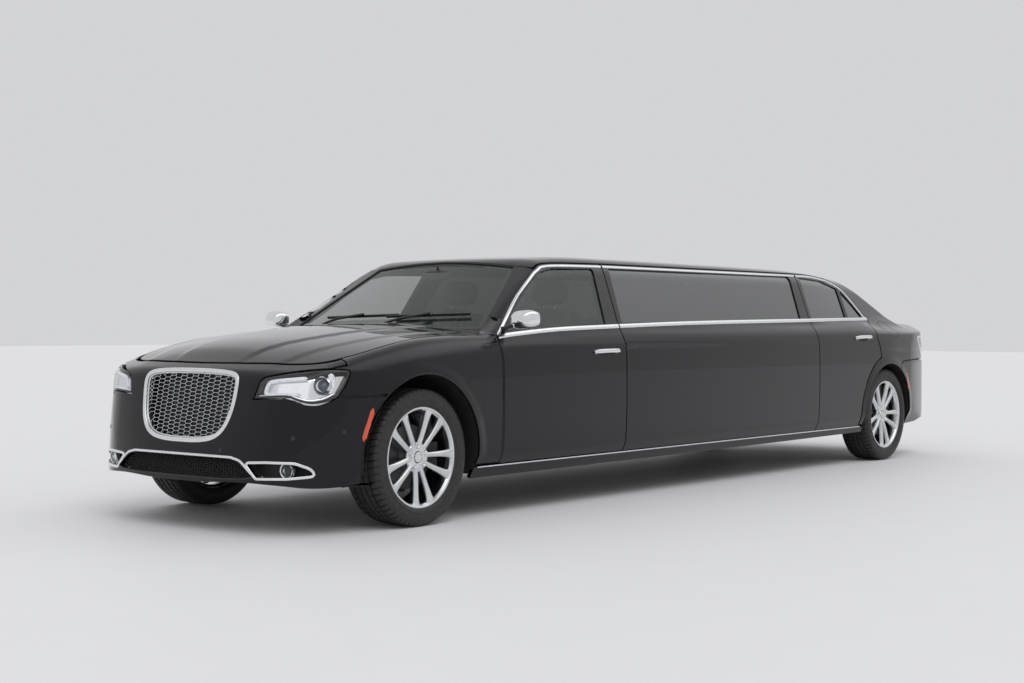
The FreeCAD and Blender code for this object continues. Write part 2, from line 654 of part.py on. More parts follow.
arm_z = axle_z - 165
arm_thickness, arm_width, boss_half = 28.0, 64.0, 22.0
ball_gap, ball_radius = 5.5, 28.0
knuckle_bottom = arm_z + boss_half + ball_gap
strut_x, strut_radius = kingpin_x - 195, 46.0


def suspension_arm(y, reach_x, root_x, z):
    """A left lower arm: a bar out to a round boss."""
    bar = box(root_x, reach_x, y - arm_width / 2, y + arm_width / 2, z - arm_thickness / 2,
              z + arm_thickness / 2)
    boss = rod(ball_radius, V(reach_x, y, z - boss_half), V(reach_x, y, z + boss_half))
    return fused(bar, boss)


front_arm = suspension_arm(front_axle_y, kingpin_x, rail_outer - 60, arm_z)
strut_top = axle_z + front_arch_radius - 40
strut_seat = V(strut_x, front_axle_y, arm_z)
front_strut = rod(strut_radius, strut_seat, V(strut_x, front_axle_y, strut_top))
arm_hole = rod(strut_radius, V(strut_x, front_axle_y, arm_z - 200), strut_seat)
parts["front_suspension"] = pair(fused(front_arm.cut(arm_hole), front_strut))


def spindle_unit(x0, x1, low_z, high_z, y):
    """Upright and spindle of a left wheel; the spindle fills the hub's bore, less a clearance."""
    upright = box(x0, x1, y - 60, y + 60, low_z, high_z)
    spindle = rod(spindle_radius, V(x0, y, axle_z), V(hub_outer - 4, y, axle_z))
    return fused(upright, spindle)


hub_inner, hub_outer = wheel_centre_x - 15, wheel_centre_x + 85
disc_x = hub_inner + 8
upright_inner, upright_outer = kingpin_x - 42, kingpin_x - 4
knuckle = spindle_unit(upright_inner, upright_outer, knuckle_bottom, axle_z + 150, front_axle_y)
knuckle = fused(knuckle, rod(ball_radius, V(kingpin_x, front_axle_y, knuckle_bottom),
                             V(kingpin_x, front_axle_y, knuckle_bottom + 40)))


def caliper(y, way):
    """Brake caliper straddling the disc, on the side of the axle given by way."""
    y0, y1 = sorted((y + way * 118, y + way * 196))
    body = box(disc_x - 42, disc_x + 52, y0, y1, axle_z - 70, axle_z + 70)
    slot = box(disc_x - 8, disc_x + 36, y - 178, y + 178, axle_z - 200, axle_z + 200)
    arm_y = sorted((y + way * 40, y + way * 130))
    bracket = box(upright_inner, kingpin_x + 6, arm_y[0], arm_y[1], axle_z - 40, axle_z + 40)
    return body.cut(slot), bracket


caliper_body, bracket = caliper(front_axle_y, 1)
knuckle = fused(knuckle, bracket, caliper_body)
parts["knuckle_left"] = knuckle
parts["knuckle_right"] = mirrored(knuckle)

rear_caliper, rear_bracket = caliper(rear_axle_y, 1)
rear_upright = spindle_unit(upright_inner, upright_outer, axle_z - 90, axle_z + 130, rear_axle_y)
rear_link = box(360, upright_outer, rear_axle_y - 40, rear_axle_y + 40, axle_z - 85, axle_z - 45)
rear_unit = fused(rear_upright, rear_bracket, rear_caliper, rear_link)
subframe = block(-400, 400, axle_z - 95, axle_z - 5, y0=aft(-140), y1=aft(140))
rear_strut_x, rear_strut_radius = 580.0, 42.0
rear_strut = rod(rear_strut_radius, V(rear_strut_x, rear_axle_y, axle_z - 60),
                 V(rear_strut_x, rear_axle_y, rear_kick_z - floor_thickness))
parts["rear_suspension"] = fused(rear_unit, mirrored(rear_unit), subframe, rear_strut,
                                 mirrored(rear_strut))

pipe_radius, pipe_x, pipe_z = 30.0, 180.0, floor_z - 34
muffler_y, muffler_length = aft(470), 360.0
pipe = rod(pipe_radius, V(pipe_x, fore(620), pipe_z), V(pipe_x, aft(-560), pipe_z))
can = box(330, 640, muffler_y, muffler_y + muffler_length, 250, 400)
tip = rod(tip_radius, V(tip_x, muffler_y + muffler_length - 10, tip_z), V(tip_x, tail_y - 25, tip_z))
parts["exhaust"] = Part.makeCompound([pair(pipe), pair(fused(can, tip))])


# ---------------------------------------------------------------- wheels
def lathe(profile, y):
    """A ring about the left wheel's axle from (x from the centre plane, radius) points."""
    outline = Part.Face(wire(profile, lambda x, r: V(wheel_centre_x + x, y, axle_z + r)))
    return outline.revolve(V(0, y, axle_z), V(1, 0, 0), 360)


seat_radius = barrel_radius + barrel_wall - 1    # where the tyre's beads sit


def tyre(y):
    half, bead_half = tyre_width / 2, rim_width / 2 - 12
    side = [
        (bead_half, seat_radius), (half - 4, seat_radius + 30), (half, seat_radius + 52),
        (half - 6, tyre_radius - 26), (half - 26, tyre_radius - 4), (half - 40, tyre_radius),
    ]
    body = lathe([(-x, r) for x, r in side] + list(reversed(side)), y)
    flange, well = rim_width / 2 + 1, bead_half + 6
    rim_side = [(well, seat_radius), (well, rim_radius), (flange, rim_radius), (flange, 200)]
    return body.cut(lathe([(-x, r) for x, r in reversed(rim_side)] + rim_side, y))


def rim(y):
    """Rim, spokes in five pairs, hub and brake disc of a left wheel."""
    half, flange = rim_width / 2, 6.0
    barrel = lathe([
        (-half, barrel_radius), (-half, rim_radius), (-half + flange, rim_radius),
        (-half + flange, seat_radius), (half - flange, seat_radius), (half - flange, rim_radius),
        (half, rim_radius), (half, barrel_radius - 4),
    ], y)
    hub_body = Part.makeCylinder(78, hub_outer - hub_inner, V(hub_inner, y, axle_z), V(1, 0, 0))
    disc = Part.makeCylinder(brake_disc_radius, 28, V(disc_x, y, axle_z), V(1, 0, 0))
    spokes = []
    spoke_half, spoke_spread, spoke_thickness = 13, 26, 30
    for i in range(5):
        for lean in (-1, 1):
            bar = box(hub_outer - spoke_thickness, hub_outer, y - spoke_half, y + spoke_half,
                      axle_z + 40, axle_z + barrel_radius + 4)
            bar.translate(V(0, lean * spoke_spread, 0))
            bar.rotate(V(0, y, axle_z), V(1, 0, 0), 72 * i + lean * 5)
            spokes.append(bar)
    spokes = common(fused(*spokes), rod(barrel_radius + 2, V(0, y, axle_z), V(far, y, axle_z)))
    wheel = fused(barrel, hub_body, disc, spokes)
    bore = rod(spindle_radius + spindle_clearance, V(hub_inner - 10, y, axle_z),
               V(hub_outer + 10, y, axle_z))
    return wheel.cut(bore)


for place, y in (("front", front_axle_y), ("rear", rear_axle_y)):
    parts[place + "_tyre_left"] = tyre(y)
    parts[place + "_tyre_right"] = mirrored(parts[place + "_tyre_left"])
    parts[place + "_rim_left"] = rim(y)
    parts[place + "_rim_right"] = mirrored(parts[place + "_rim_left"])

total_volume = sum(shape.Volume for shape in parts.values())
print(len(parts), "nodes,", round(total_volume / 1e9, 3), "m3")
os.makedirs("parts", exist_ok=True)
for name, shape in parts.items():
    shape.exportStep("parts/" + name + ".step")
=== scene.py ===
"""Stretch limousine: painted panels, glass, lamps, grille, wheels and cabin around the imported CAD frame."""
import json
import math

import bmesh
import bpy
import numpy as np
from mathutils import Matrix, Vector
from mathutils.geometry import delaunay_2d_cdt


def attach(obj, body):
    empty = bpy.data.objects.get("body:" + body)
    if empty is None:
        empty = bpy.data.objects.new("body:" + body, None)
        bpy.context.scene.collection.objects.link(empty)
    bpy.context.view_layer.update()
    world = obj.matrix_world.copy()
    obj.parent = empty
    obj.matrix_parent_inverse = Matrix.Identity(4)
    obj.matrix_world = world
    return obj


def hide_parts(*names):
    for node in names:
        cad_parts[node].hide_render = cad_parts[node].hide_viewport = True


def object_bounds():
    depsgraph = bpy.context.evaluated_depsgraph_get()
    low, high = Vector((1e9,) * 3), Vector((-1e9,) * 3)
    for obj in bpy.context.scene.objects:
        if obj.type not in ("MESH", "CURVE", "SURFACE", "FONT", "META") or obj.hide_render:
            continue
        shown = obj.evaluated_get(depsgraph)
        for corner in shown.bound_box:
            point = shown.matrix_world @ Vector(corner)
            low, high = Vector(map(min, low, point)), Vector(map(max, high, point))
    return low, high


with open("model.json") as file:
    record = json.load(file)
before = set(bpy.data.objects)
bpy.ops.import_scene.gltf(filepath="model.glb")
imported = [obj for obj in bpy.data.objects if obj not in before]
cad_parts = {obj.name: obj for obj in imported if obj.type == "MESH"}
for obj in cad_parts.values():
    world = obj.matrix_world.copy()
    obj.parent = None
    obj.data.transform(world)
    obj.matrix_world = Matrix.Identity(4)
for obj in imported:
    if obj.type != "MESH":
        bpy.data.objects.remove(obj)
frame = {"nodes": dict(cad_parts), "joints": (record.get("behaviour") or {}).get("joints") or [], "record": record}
cad_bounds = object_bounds()
MM = 0.001


# ---------------------------------------------------------------- stations, all in millimetres


def joint_place(name):
    """A joint's place in millimetres."""
    place = next(j for j in frame["joints"] if j["name"] == name)["pos_m"]
    return [1000 * value for value in place]


WHEEL_X, FRONT_AXLE, AXLE_Z = joint_place("front_wheel_spin_left")
REAR_AXLE = joint_place("rear_wheel_spin_left")[1]
NOSE = 1000 * min(cad_bounds[0][1], cad_bounds[1][1])
TAIL = 1000 * max(cad_bounds[0][1], cad_bounds[1][1])
HALF = 951.0
GROUND = 200.0
BELT = 1050.0
ROOF = 1515.0


def fore(d):
    """y of a place this far behind the front axle."""
    return FRONT_AXLE + d


def aft(d):
    """y of a place this far behind the rear axle."""
    return REAR_AXLE + d


DOOR_FRONT, SPLIT = fore(645), fore(1870)
REAR_SPLIT = aft(1870 - 3052)
SILL_TOP = GROUND + 88


# ---------------------------------------------------------------- body surfaces
# Lower body: y, then out, low, shoulder, belt_in, belt and crown; out and belt_in are x from HALF,
# low is z from GROUND, and shoulder, belt and crown are z from BELT
LOWER = np.array([
    (NOSE - 60, -71, 35, -410, -131, -330, -290),
    (fore(-740), -51, 30, -350, -121, -270, -200),
    (fore(-450), -26, 18, -260, -96, -170, -98),
    (fore(-200), -7, 5, -195, -86, -110, -60),
    (fore(0), 0, 0, -165, -83, -72, -34),
    (fore(300), -3, 0, -145, -79, -52, -4),
    (fore(645), -7, 0, -120, -71, -48, 16),
    (SPLIT, -7, 3, -85, -67, 0, 60),
    (REAR_SPLIT, -7, 15, -50, -85, 40, 100),
    (aft(-300), -3, 22, -40, -101, 60, 112),
    (aft(0), 0, 26, -35, -151, 42, 114),
    (aft(400), -14, 35, -35, -171, 34, 104),
    (aft(850), -44, 60, -45, -211, 26, 92),
    (TAIL + 60, -80, 80, -60, -251, 10, 70),
])
# Greenhouse: y, low (x from HALF at CABIN_BASE), top (x from HALF), edge, crown (z from ROOF)
CABIN_BASE = BELT - 50
CABIN = np.array([
    (fore(200), -74, -251, -190, -120),
    (fore(1250), -50, -256, -122, -42),
    (fore(1500), -45, -259, -92, -14),
    (SPLIT, -42, -261, -76, -3),
    (REAR_SPLIT - 700, -42, -261, -60, 0),
    (REAR_SPLIT, -46, -261, -62, -3),
    (aft(-600), -62, -271, -90, -25),
    (aft(-250), -72, -288, -118, -56),
    (aft(550), -150, -320, -170, -100),
    (aft(1400), -250, -380, -230, -150),
])
# Half plan outlines of the ends: half width, distance from the end; and side views: z, distance from the end
NOSE_PLAN = np.array([(0, 0), (280, 16), (560, 60), (740, 150), (850, 290), (905, 440), (960, 720)])
TAIL_PLAN = np.array([(0, 0), (310, 13), (620, 55), (760, 120), (840, 240), (900, 460), (965, 800)])
NOSE_SIDE = np.array([(150, 130), (190, 90), (240, 12), (290, 12), (385, 30), (460, 42), (640, 80),
                     (821, 121), (865, 200), (1000, 420)])
TAIL_SIDE = np.array([(200, 190), (250, 130), (300, 40), (430, 2), (640, 2), (770, 22), (800, 70), (960, 98),
                     (1110, 132), (1180, 190)])
# Sloping glass: y and z of the base's centre, sag and half width of its plan arc, run for each unit of rise
WINDSHIELD = (fore(617), BELT + 16, 112, 755, 1.62)
BACKLIGHT = (aft(385), BELT + 119, -82, 620, -2.1)


def hermite(xs, ys, at):
    """Monotone cubic through points, many rows at once: xs and ys are (rows, points), at is (rows,)."""
    h = np.diff(xs, axis=1)
    slope = np.diff(ys, axis=1) / h
    inner = np.where(slope[:, 1:] * slope[:, :-1] > 0,
                     2 * slope[:, 1:] * slope[:, :-1] / (slope[:, 1:] + slope[:, :-1] + 1e-12), 0)
    m = np.concatenate([slope[:, :1], inner, slope[:, -1:]], axis=1)
    i = np.clip((xs <= at[:, None]).sum(1) - 1, 0, xs.shape[1] - 2)
    r = np.arange(len(at))
    t = (at - xs[r, i]) / h[r, i]
    low, high = t < 0, t > 1
    tc = np.clip(t, 0, 1)
    y = ((2 * tc**3 - 3 * tc**2 + 1) * ys[r, i] + (tc**3 - 2 * tc**2 + tc) * h[r, i] * m[r, i]
         + (3 * tc**2 - 2 * tc**3) * ys[r, i + 1] + (tc**3 - tc**2) * h[r, i] * m[r, i + 1])
    y = y + np.where(low, t * h[r, i] * m[r, i], 0) + np.where(high, (t - 1) * h[r, i] * m[r, i + 1], 0)
    return y


def along(table, smooth):
    """The table's columns along the car, on a fine even grid and softened, so that reflections run true."""
    y = np.arange(table[0, 0] - 400, table[-1, 0] + 400, 10.0)
    columns = [hermite(np.tile(table[:, 0], (len(y), 1)), np.tile(table[:, k], (len(y), 1)), y)
               for k in range(1, table.shape[1])]
    reach = int(smooth / 10 * 3)
    kernel = np.exp(-0.5 * (np.arange(-reach, reach + 1) * 10 / smooth) ** 2)
    kernel /= kernel.sum()
    soft = [np.convolve(np.pad(c, reach, mode="edge"), kernel, mode="valid") for c in columns]
    return y, soft


LOWER_Y, LOWER_COLUMNS = along(LOWER, 90)
CABIN_Y, CABIN_COLUMNS = along(CABIN, 110)


def lower_at(y):
    """The lower body's columns at stations along the car."""
    return [np.interp(y, LOWER_Y, c) for c in LOWER_COLUMNS]


def cabin_at(y):
    """The greenhouse's columns at stations along the car."""
    return [np.interp(y, CABIN_Y, c) for c in CABIN_COLUMNS]


def curve(points, at):
    """A monotone curve through points, read at many places."""
    xs = np.tile(points[:, 0].astype(float), (len(at), 1))
    ys = np.tile(points[:, 1].astype(float), (len(at), 1))
    return hermite(xs, ys, at)


def smooth_max(a, b, k):
    """The larger of two values, rounded over where they are closer than k."""
    h = np.clip(0.5 + 0.5 * (a - b) / k, 0, 1)
    return b + (a - b) * h + k * h * (1 - h)


def smooth_min(a, b, k):
    """The smaller of two values, rounded over where they are closer than k."""
    return -smooth_max(-a, -b, k)


def ramp(value, low, high):
    """0 below low, 1 above high and a smooth rise between them."""
    t = np.clip((value - low) / (high - low), 0, 1)
    return t * t * (3 - 2 * t)


ARCHES = ((FRONT_AXLE, 439.0), (REAR_AXLE, 408.0))


def flank(y, z):
    """Half width of the lower body."""
    out, low, shoulder, belt_in, belt, _ = lower_at(y)
    w, bottom, crease = HALF + out, GROUND + low, BELT + shoulder
    belt_x, belt_z = HALF + belt_in, BELT + belt
    zs = np.stack([bottom - 40, bottom, bottom + 88, bottom + 160, (bottom + 30 + crease) / 2, crease - 100,
                   crease - 12, belt_z, belt_z + 60], axis=1)
    xs = np.stack([w - 120, w - 66, w - 34, w - 8, w, w - 3, w - 17, belt_x, belt_x - 40], axis=1)
    x = hermite(zs, xs, z)
    for axle, radius in ARCHES:
        away = np.hypot(y - axle, z - AXLE_Z)
        x = x + 7 * (1 - ramp(away, radius + 12, radius + 75)) * ramp(z, 250, 420)
    return x


def lower_top(x, y):
    """Height of the hood, fender tops and deck."""
    _, _, _, belt_in, belt, crown = lower_at(y)
    u = np.abs(x) / (HALF + belt_in)
    z = BELT + belt + (crown - belt) * (1 - u * u)
    on_hood = ramp(y, fore(-760), fore(-560)) * (1 - ramp(y, fore(560), fore(760)))
    line = 250 + 0.16 * (y - fore(-700))
    z = z + 9 * on_hood * (1 - ramp(np.abs(x), line - 22, line + 34))
    z = z + 5 * on_hood * (1 - ramp(np.abs(x), line + 240, line + 300))
    return z


def end_distance(plan, side, x, z):
    """How far an end's surface stands in from its foremost point."""
    a = np.maximum(curve(plan, np.abs(x)), 0)
    b = np.maximum(curve(side, z), 0)
    return (a ** 1.8 + b ** 1.8) ** (1 / 1.8)


def nose_y(x, z):
    """y of the nose's surface."""
    return NOSE + end_distance(NOSE_PLAN, NOSE_SIDE, x, z)


def tail_y(x, z):
    """y of the tail's surface."""
    return TAIL - end_distance(TAIL_PLAN, TAIL_SIDE, x, z)


def lower_field(p):
    """Negative inside the lower body, roughly a distance."""
    x, y, z = p[:, 0], p[:, 1], p[:, 2]
    side = np.abs(x) - flank(y, z)
    top = (z - lower_top(x, y))
    field = smooth_max(side, top, 46)
    field = smooth_max(field, nose_y(x, z) - y, 42)
    field = smooth_max(field, y - tail_y(x, z), 42)
    _, low, *_ = lower_at(y)
    return smooth_max(field, GROUND + low - z, 16)


def glass_plane(glass, p):
    """Signed distance outside a sloping window's surface."""
    y0, z0, sag, reach, run = glass
    x, y, z = p[:, 0], p[:, 1], p[:, 2]
    u = np.minimum(np.abs(x) / reach, 1.0)
    bend = sag * u * u - sag * 0.1 * ramp(np.abs(x), reach, reach + 200)
    return (y0 + run * (z - z0) + bend - y) * (1 if run > 0 else -1) / math.hypot(1, run)


def cabin_field(p):
    """Negative inside the greenhouse, roughly a distance."""
    x, y, z = p[:, 0], p[:, 1], p[:, 2]
    low, top, edge, crown = cabin_at(y)
    rise = ROOF + edge - CABIN_BASE
    lean = (low - top) / rise
    side = (np.abs(x) - (HALF + low - lean * (z - CABIN_BASE))) / np.sqrt(1 + lean * lean)
    rail = HALF + top
    u = np.abs(x) / rail
    roof = z - (ROOF + crown - 9 - 16 * u * u - 30 * np.maximum(u - 0.72, 0) ** 2 / 0.08)
    field = smooth_max(side, roof, 64)
    for slope in (WINDSHIELD, BACKLIGHT):
        field = smooth_max(field, glass_plane(slope, p), 26)
    return np.maximum(field, CABIN_BASE - 60 - z)


def body_field(p):
    """Negative inside the whole body, roughly a distance."""
    blend = 8 + 62 * ramp(p[:, 1], aft(-300), aft(150))
    return smooth_min(lower_field(p), cabin_field(p), blend)


def unit(v):
    """Rows of directions made one long."""
    return v / np.maximum(np.linalg.norm(v, axis=1, keepdims=True), 1e-9)


def normals_of(field, p):
    """Directions out of a field's surface."""
    step = 1.5
    g = np.stack([field(p + d) - field(p - d) for d in np.eye(3) * step], axis=1)
    return unit(g)


# ---------------------------------------------------------------- outlines


def dense(path, step=14.0, closed=True):
    """Extra points along a path of points, evenly between each two."""
    path = [np.asarray(p, float) for p in path]
    ends = path[1:] + ([path[0]] if closed else [])
    made = []
    for a, b in zip(path, ends):
        n = max(1, int(round(np.linalg.norm(b - a) / step)))
        made += [a + (b - a) * k / n for k in range(n)]
    if not closed:
        made.append(path[-1])
    return made


def rounded(path, radius, step=7.0):
    """A closed 2D outline with its corners rounded; a corner's own radius may follow its point."""
    made = []
    n = len(path)
    for i in range(n):
        a, b, c = (np.asarray(path[j % n][:2], float) for j in (i - 1, i, i + 1))
        r = path[i][2] if len(path[i]) > 2 else radius
        u, v = a - b, c - b
        lu, lv = np.linalg.norm(u), np.linalg.norm(v)
        u, v = u / lu, v / lv
        turn = math.acos(float(np.clip(u @ v, -1, 1)))
        if r <= 0 or turn > math.pi - 0.06:
            made.append(b)
            continue
        cut = min(r / math.tan(turn / 2), lu * 0.48, lv * 0.48)
        count = max(2, int(cut * 2 / step))
        for k in range(count + 1):
            t = k / count
            made.append((b + u * cut) * (1 - t) ** 2 + 2 * b * t * (1 - t) + (b + v * cut) * t * t)
    return made


def shrunk(path, amount):
    """A closed 2D outline moved inwards."""
    p = np.asarray(path, float)
    area = 0.5 * np.sum(p[:, 0] * np.roll(p[:, 1], -1) - np.roll(p[:, 0], -1) * p[:, 1])
    way = 1 if area > 0 else -1
    before, after = p - np.roll(p, 1, axis=0), np.roll(p, -1, axis=0) - p
    before = unit(before)
    after = unit(after)
    n1 = np.stack([-before[:, 1], before[:, 0]], 1) * way
    n2 = np.stack([-after[:, 1], after[:, 0]], 1) * way
    m = n1 + n2
    m = unit(m)
    scale = amount / np.maximum((m * n1).sum(1), 0.35)
    return p + m * scale[:, None]


# ---------------------------------------------------------------- mesh making


def inside_polygon(points, loop):
    """Which 2D points lie inside a closed loop."""
    x, y = points[:, 0], points[:, 1]
    result = np.zeros(len(points), bool)
    a, b = loop, np.roll(loop, -1, axis=0)
    for (x0, y0), (x1, y1) in zip(a, b):
        if y0 == y1:
            continue
        cross = ((y0 > y) != (y1 > y)) & (x < (x1 - x0) * (y - y0) / (y1 - y0) + x0)
        result ^= cross
    return result


def distance_to_loop(points, loop):
    """How far 2D points are from a closed loop."""
    best = np.full(len(points), 1e9)
    for a, b in zip(loop, np.roll(loop, -1, axis=0)):
        d = b - a
        t = np.clip(((points - a) @ d) / max(d @ d, 1e-9), 0, 1)
        best = np.minimum(best, np.linalg.norm(points - a - t[:, None] * d, axis=1))
    return best


def fill(loops, spacing):
    """Triangles over a 2D outline with holes: (points, faces)."""
    loops = [np.asarray(loop, float) for loop in loops]
    edge_points = np.concatenate(loops)
    low, high = loops[0].min(0), loops[0].max(0)
    gx = np.arange(low[0] + spacing / 2, high[0], spacing)
    gy = np.arange(low[1] + spacing / 2, high[1], spacing)
    grid = np.stack(np.meshgrid(gx, gy), -1).reshape(-1, 2)
    keep = inside_polygon(grid, loops[0])
    for hole in loops[1:]:
        keep &= ~inside_polygon(grid, hole)
    grid = grid[keep]
    for loop in loops:
        grid = grid[distance_to_loop(grid, loop) > spacing * 0.45]
    points = np.concatenate([edge_points, grid])
    faces, at = [], 0
    for loop in loops:
        faces.append(list(range(at, at + len(loop))))
        at += len(loop)
    made = delaunay_2d_cdt([Vector(p) for p in points], [], faces, 1, 1e-4)
    verts = np.array([v[:] for v in made[0]])
    tris = np.array([f for f in made[2] if len(f) == 3])
    centre = verts[tris].mean(1)
    keep = inside_polygon(centre, loops[0])
    for hole in loops[1:]:
        keep &= ~inside_polygon(centre, hole)
    return verts, tris[keep]


def axes_for(direction):
    """Two directions across a casting direction."""
    d = np.asarray(direction, float)
    d = d / np.linalg.norm(d)
    helper = np.array([0, 0, 1.0]) if abs(d[2]) < 0.9 else np.array([0, 1.0, 0])
    a = np.cross(helper, d)
    a /= np.linalg.norm(a)
    return d, a, np.cross(d, a)


class Skin:
    """A mesh being put together: points in millimetres, faces, and a normal for each point."""

    def __init__(self):
        self.points, self.faces, self.normals, self.groups = [], [], [], []
        self.count = 0

    def add(self, points, faces, normals, group=0):
        self.points.append(np.asarray(points, float))
        self.normals.append(np.asarray(normals, float))
        self.faces += [tuple(int(i) + self.count for i in f) for f in faces]
        self.groups += [group] * len(faces)
        self.count += len(points)
        return self

    def mirrored(self):
        other = Skin()
        for p, n in zip(self.points, self.normals):
            other.points.append(p * (-1, 1, 1))
            other.normals.append(n * (-1, 1, 1))
        other.faces = [f[::-1] for f in self.faces]
        other.groups = list(self.groups)
        other.count = self.count
        return other

    def join(self, other):
        shift = self.count
        self.points += other.points
        self.normals += other.normals
        self.faces += [tuple(i + shift for i in f) for f in other.faces]
        self.groups += other.groups
        self.count += other.count
        return self

    def both(self):
        return self.join(self.mirrored())

    def object(self, name, materials, body, slot, replaces=(), sharp=None, weld=False):
        """Makes the object; sharp, if given, is the edge angle that shades as a corner."""
        points, normals = np.concatenate(self.points), np.concatenate(self.normals)
        mesh = bpy.data.meshes.new(name)
        mesh.from_pydata([tuple(p) for p in points * MM], [], self.faces)
        if weld:
            shape = bmesh.new()
            shape.from_mesh(mesh)
            bmesh.ops.remove_doubles(shape, verts=shape.verts, dist=2e-5)
            shape.to_mesh(mesh)
            shape.free()
        mesh.polygons.foreach_set("use_smooth", [True] * len(mesh.polygons))
        for material in materials if isinstance(materials, (list, tuple)) else [materials]:
            mesh.materials.append(material)
        if not weld:
            mesh.polygons.foreach_set("material_index", self.groups)
        mesh.validate()
        mesh.update()
        if sharp is None:
            mesh.normals_split_custom_set_from_vertices([tuple(n) for n in normals])
        else:
            mesh.set_sharp_from_angle(angle=math.radians(sharp))
        return place(bpy.data.objects.new(name, mesh), body, slot, replaces)


def hands(skin, name, materials, body, slot, replaces=(), **more):
    """The right and left copies of a piece, on the right and left copies of its body."""
    return [(skin.mirrored() if hand == "right" else skin).object(
        f"{name}_{hand}", materials, f"{body}_{hand}", slot, [f"{node}_{hand}" for node in replaces], **more)
        for hand in ("right", "left")]


def place(obj, body, slot, replaces=()):
    if obj.name not in bpy.context.scene.collection.objects:
        bpy.context.scene.collection.objects.link(obj)
    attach(obj, body)
    if replaces:
        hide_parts(*replaces)
    return obj


def boundary_loops(faces):
    """Ordered loops of the edges that only one face uses, each running with its face."""
    used = {}
    for f in faces:
        for a, b in zip(f, tuple(f[1:]) + (f[0],)):
            used[(a, b)] = used.get((a, b), 0) + 1
    after = {a: b for (a, b) in used if (b, a) not in used}
    loops = []
    while after:
        start, at = next(iter(after.items()))
        loop = [start]
        del after[start]
        while at != start and at in after:
            loop.append(at)
            at = after.pop(at)
        loops.append(loop)
    return loops


def hem(skin, points, faces, normals, radius, depth):
    """Rolls a sheet's edges inwards round a small radius and down to a depth."""
    for loop in boundary_loops([tuple(f) for f in faces]):
        if len(loop) < 4:
            continue
        p, n = points[loop], normals[loop]
        along_edge = np.roll(p, -1, axis=0) - np.roll(p, 1, axis=0)
        out = np.cross(along_edge, n)
        out = unit(out)
        rings, ring_normals = [], []
        for k in range(5):
            a = math.pi / 2 * k / 4
            rings.append(p + out * radius * math.sin(a) - n * radius * (1 - math.cos(a)))
            ring_normals.append(n * math.cos(a) + out * math.sin(a))
        rings.append(p + out * radius - n * depth)
        ring_normals.append(out)
        count = len(loop)
        strip = []
        for k in range(len(rings) - 1):
            for i in range(count):
                j = (i + 1) % count
                strip.append((k * count + i, (k + 1) * count + i, (k + 1) * count + j, k * count + j))
        skin.add(np.concatenate(rings), strip, np.concatenate(ring_normals))


# ---------------------------------------------------------------- charts: flat pictures of the curved surface


class Flat:
    """Rays all along one direction."""

    def __init__(self, direction, middle=(0, 0, 0), reach=900):
        self.d, self.a, self.b = axes_for(direction)
        self.depth, self.reach = float(np.dot(middle, self.d)), reach

    def to_uv(self, p):
        p = np.asarray(p, float)
        return np.stack([p @ self.a, p @ self.b], 1)

    def rays(self, uv):
        return uv[:, :1] * self.a + uv[:, 1:] * self.b + self.depth * self.d, np.tile(self.d, (len(uv), 1))


class Drum:
    """Rays out from an upright axis at (0, y); way is -1 towards the nose and 1 towards the tail."""

    def __init__(self, y, way, scale, reach=1500):
        self.y, self.way, self.scale, self.reach = y, way, scale, reach

    def to_uv(self, p):
        p = np.asarray(p, float)
        return np.stack([self.scale * np.arctan2(p[:, 0], (p[:, 1] - self.y) * self.way), p[:, 2]], 1)

    def rays(self, uv):
        a = uv[:, 0] / self.scale
        d = np.stack([np.sin(a), self.way * np.cos(a), np.zeros(len(uv))], 1)
        return np.stack([np.zeros(len(uv)), np.full(len(uv), float(self.y)), uv[:, 1]], 1), d


def cast_rays(field, start, direction, reach, near=0.0):
    """The outermost place where each ray enters the field."""
    n = len(start)
    inside, outside = np.full(n, near), np.full(n, float(reach))
    found = np.zeros(n, bool)
    previous = np.full(n, float(reach))
    for t in np.linspace(reach, near, int((reach - near) / 30) + 2)[1:]:
        hit = (field(start + direction * t) < 0) & ~found
        inside[hit], outside[hit] = t, previous[hit]
        found |= hit
        previous[:] = t
    for _ in range(24):
        mid = (inside + outside) / 2
        neg = field(start + direction * mid[:, None]) < 0
        inside, outside = np.where(neg, mid, inside), np.where(neg, outside, mid)
    return start + direction * ((inside + outside) / 2)[:, None]


def side(points, field=body_field):
    """Places (y, z) seen from the left, on the surface."""
    p = np.array([(0.0, y, z) for y, z in points])
    return cast_rays(field, p, np.array([1.0, 0, 0]), 1100, 250)


def plan(points, field=body_field):
    """Places (x, y) seen from above, on the surface."""
    p = np.array([(x, y, 0.0) for x, y in points])
    return cast_rays(field, p, np.array([0, 0, 1.0]), 1700, 300)


def front(points, field=body_field):
    """Places (x, z) seen from ahead, on the surface."""
    p = np.array([(x, 0.0, z) for x, z in points])
    return cast_rays(field, p, np.array([0, -1.0, 0]), 4000, 1500)


def rear(points, field=body_field):
    """Places (x, z) seen from behind, on the surface."""
    p = np.array([(x, 0.0, z) for x, z in points])
    return cast_rays(field, p, np.array([0, 1.0, 0]), 4000, 1500)


def joined(*runs):
    """Runs of places in one loop, without doubled ends."""
    made = []
    for run in runs:
        for p in run:
            if not made or np.linalg.norm(np.asarray(p) - made[-1]) > 3.0:
                made.append(np.asarray(p, float))
    if np.linalg.norm(made[0] - made[-1]) < 3.0:
        made.pop()
    return np.array(made)


def straight(*points):
    """Evenly filled straight runs between points, left open."""
    return dense(points, closed=False)


def whole(half):
    """A closed loop from its left half."""
    return joined(half, mirror(flipped(half)))


def flipped(run):
    """A run of places the other way round."""
    return np.asarray(run)[::-1]


def mirror(run):
    """A run of places on the other side of the car."""
    return np.asarray(run) * (-1, 1, 1)


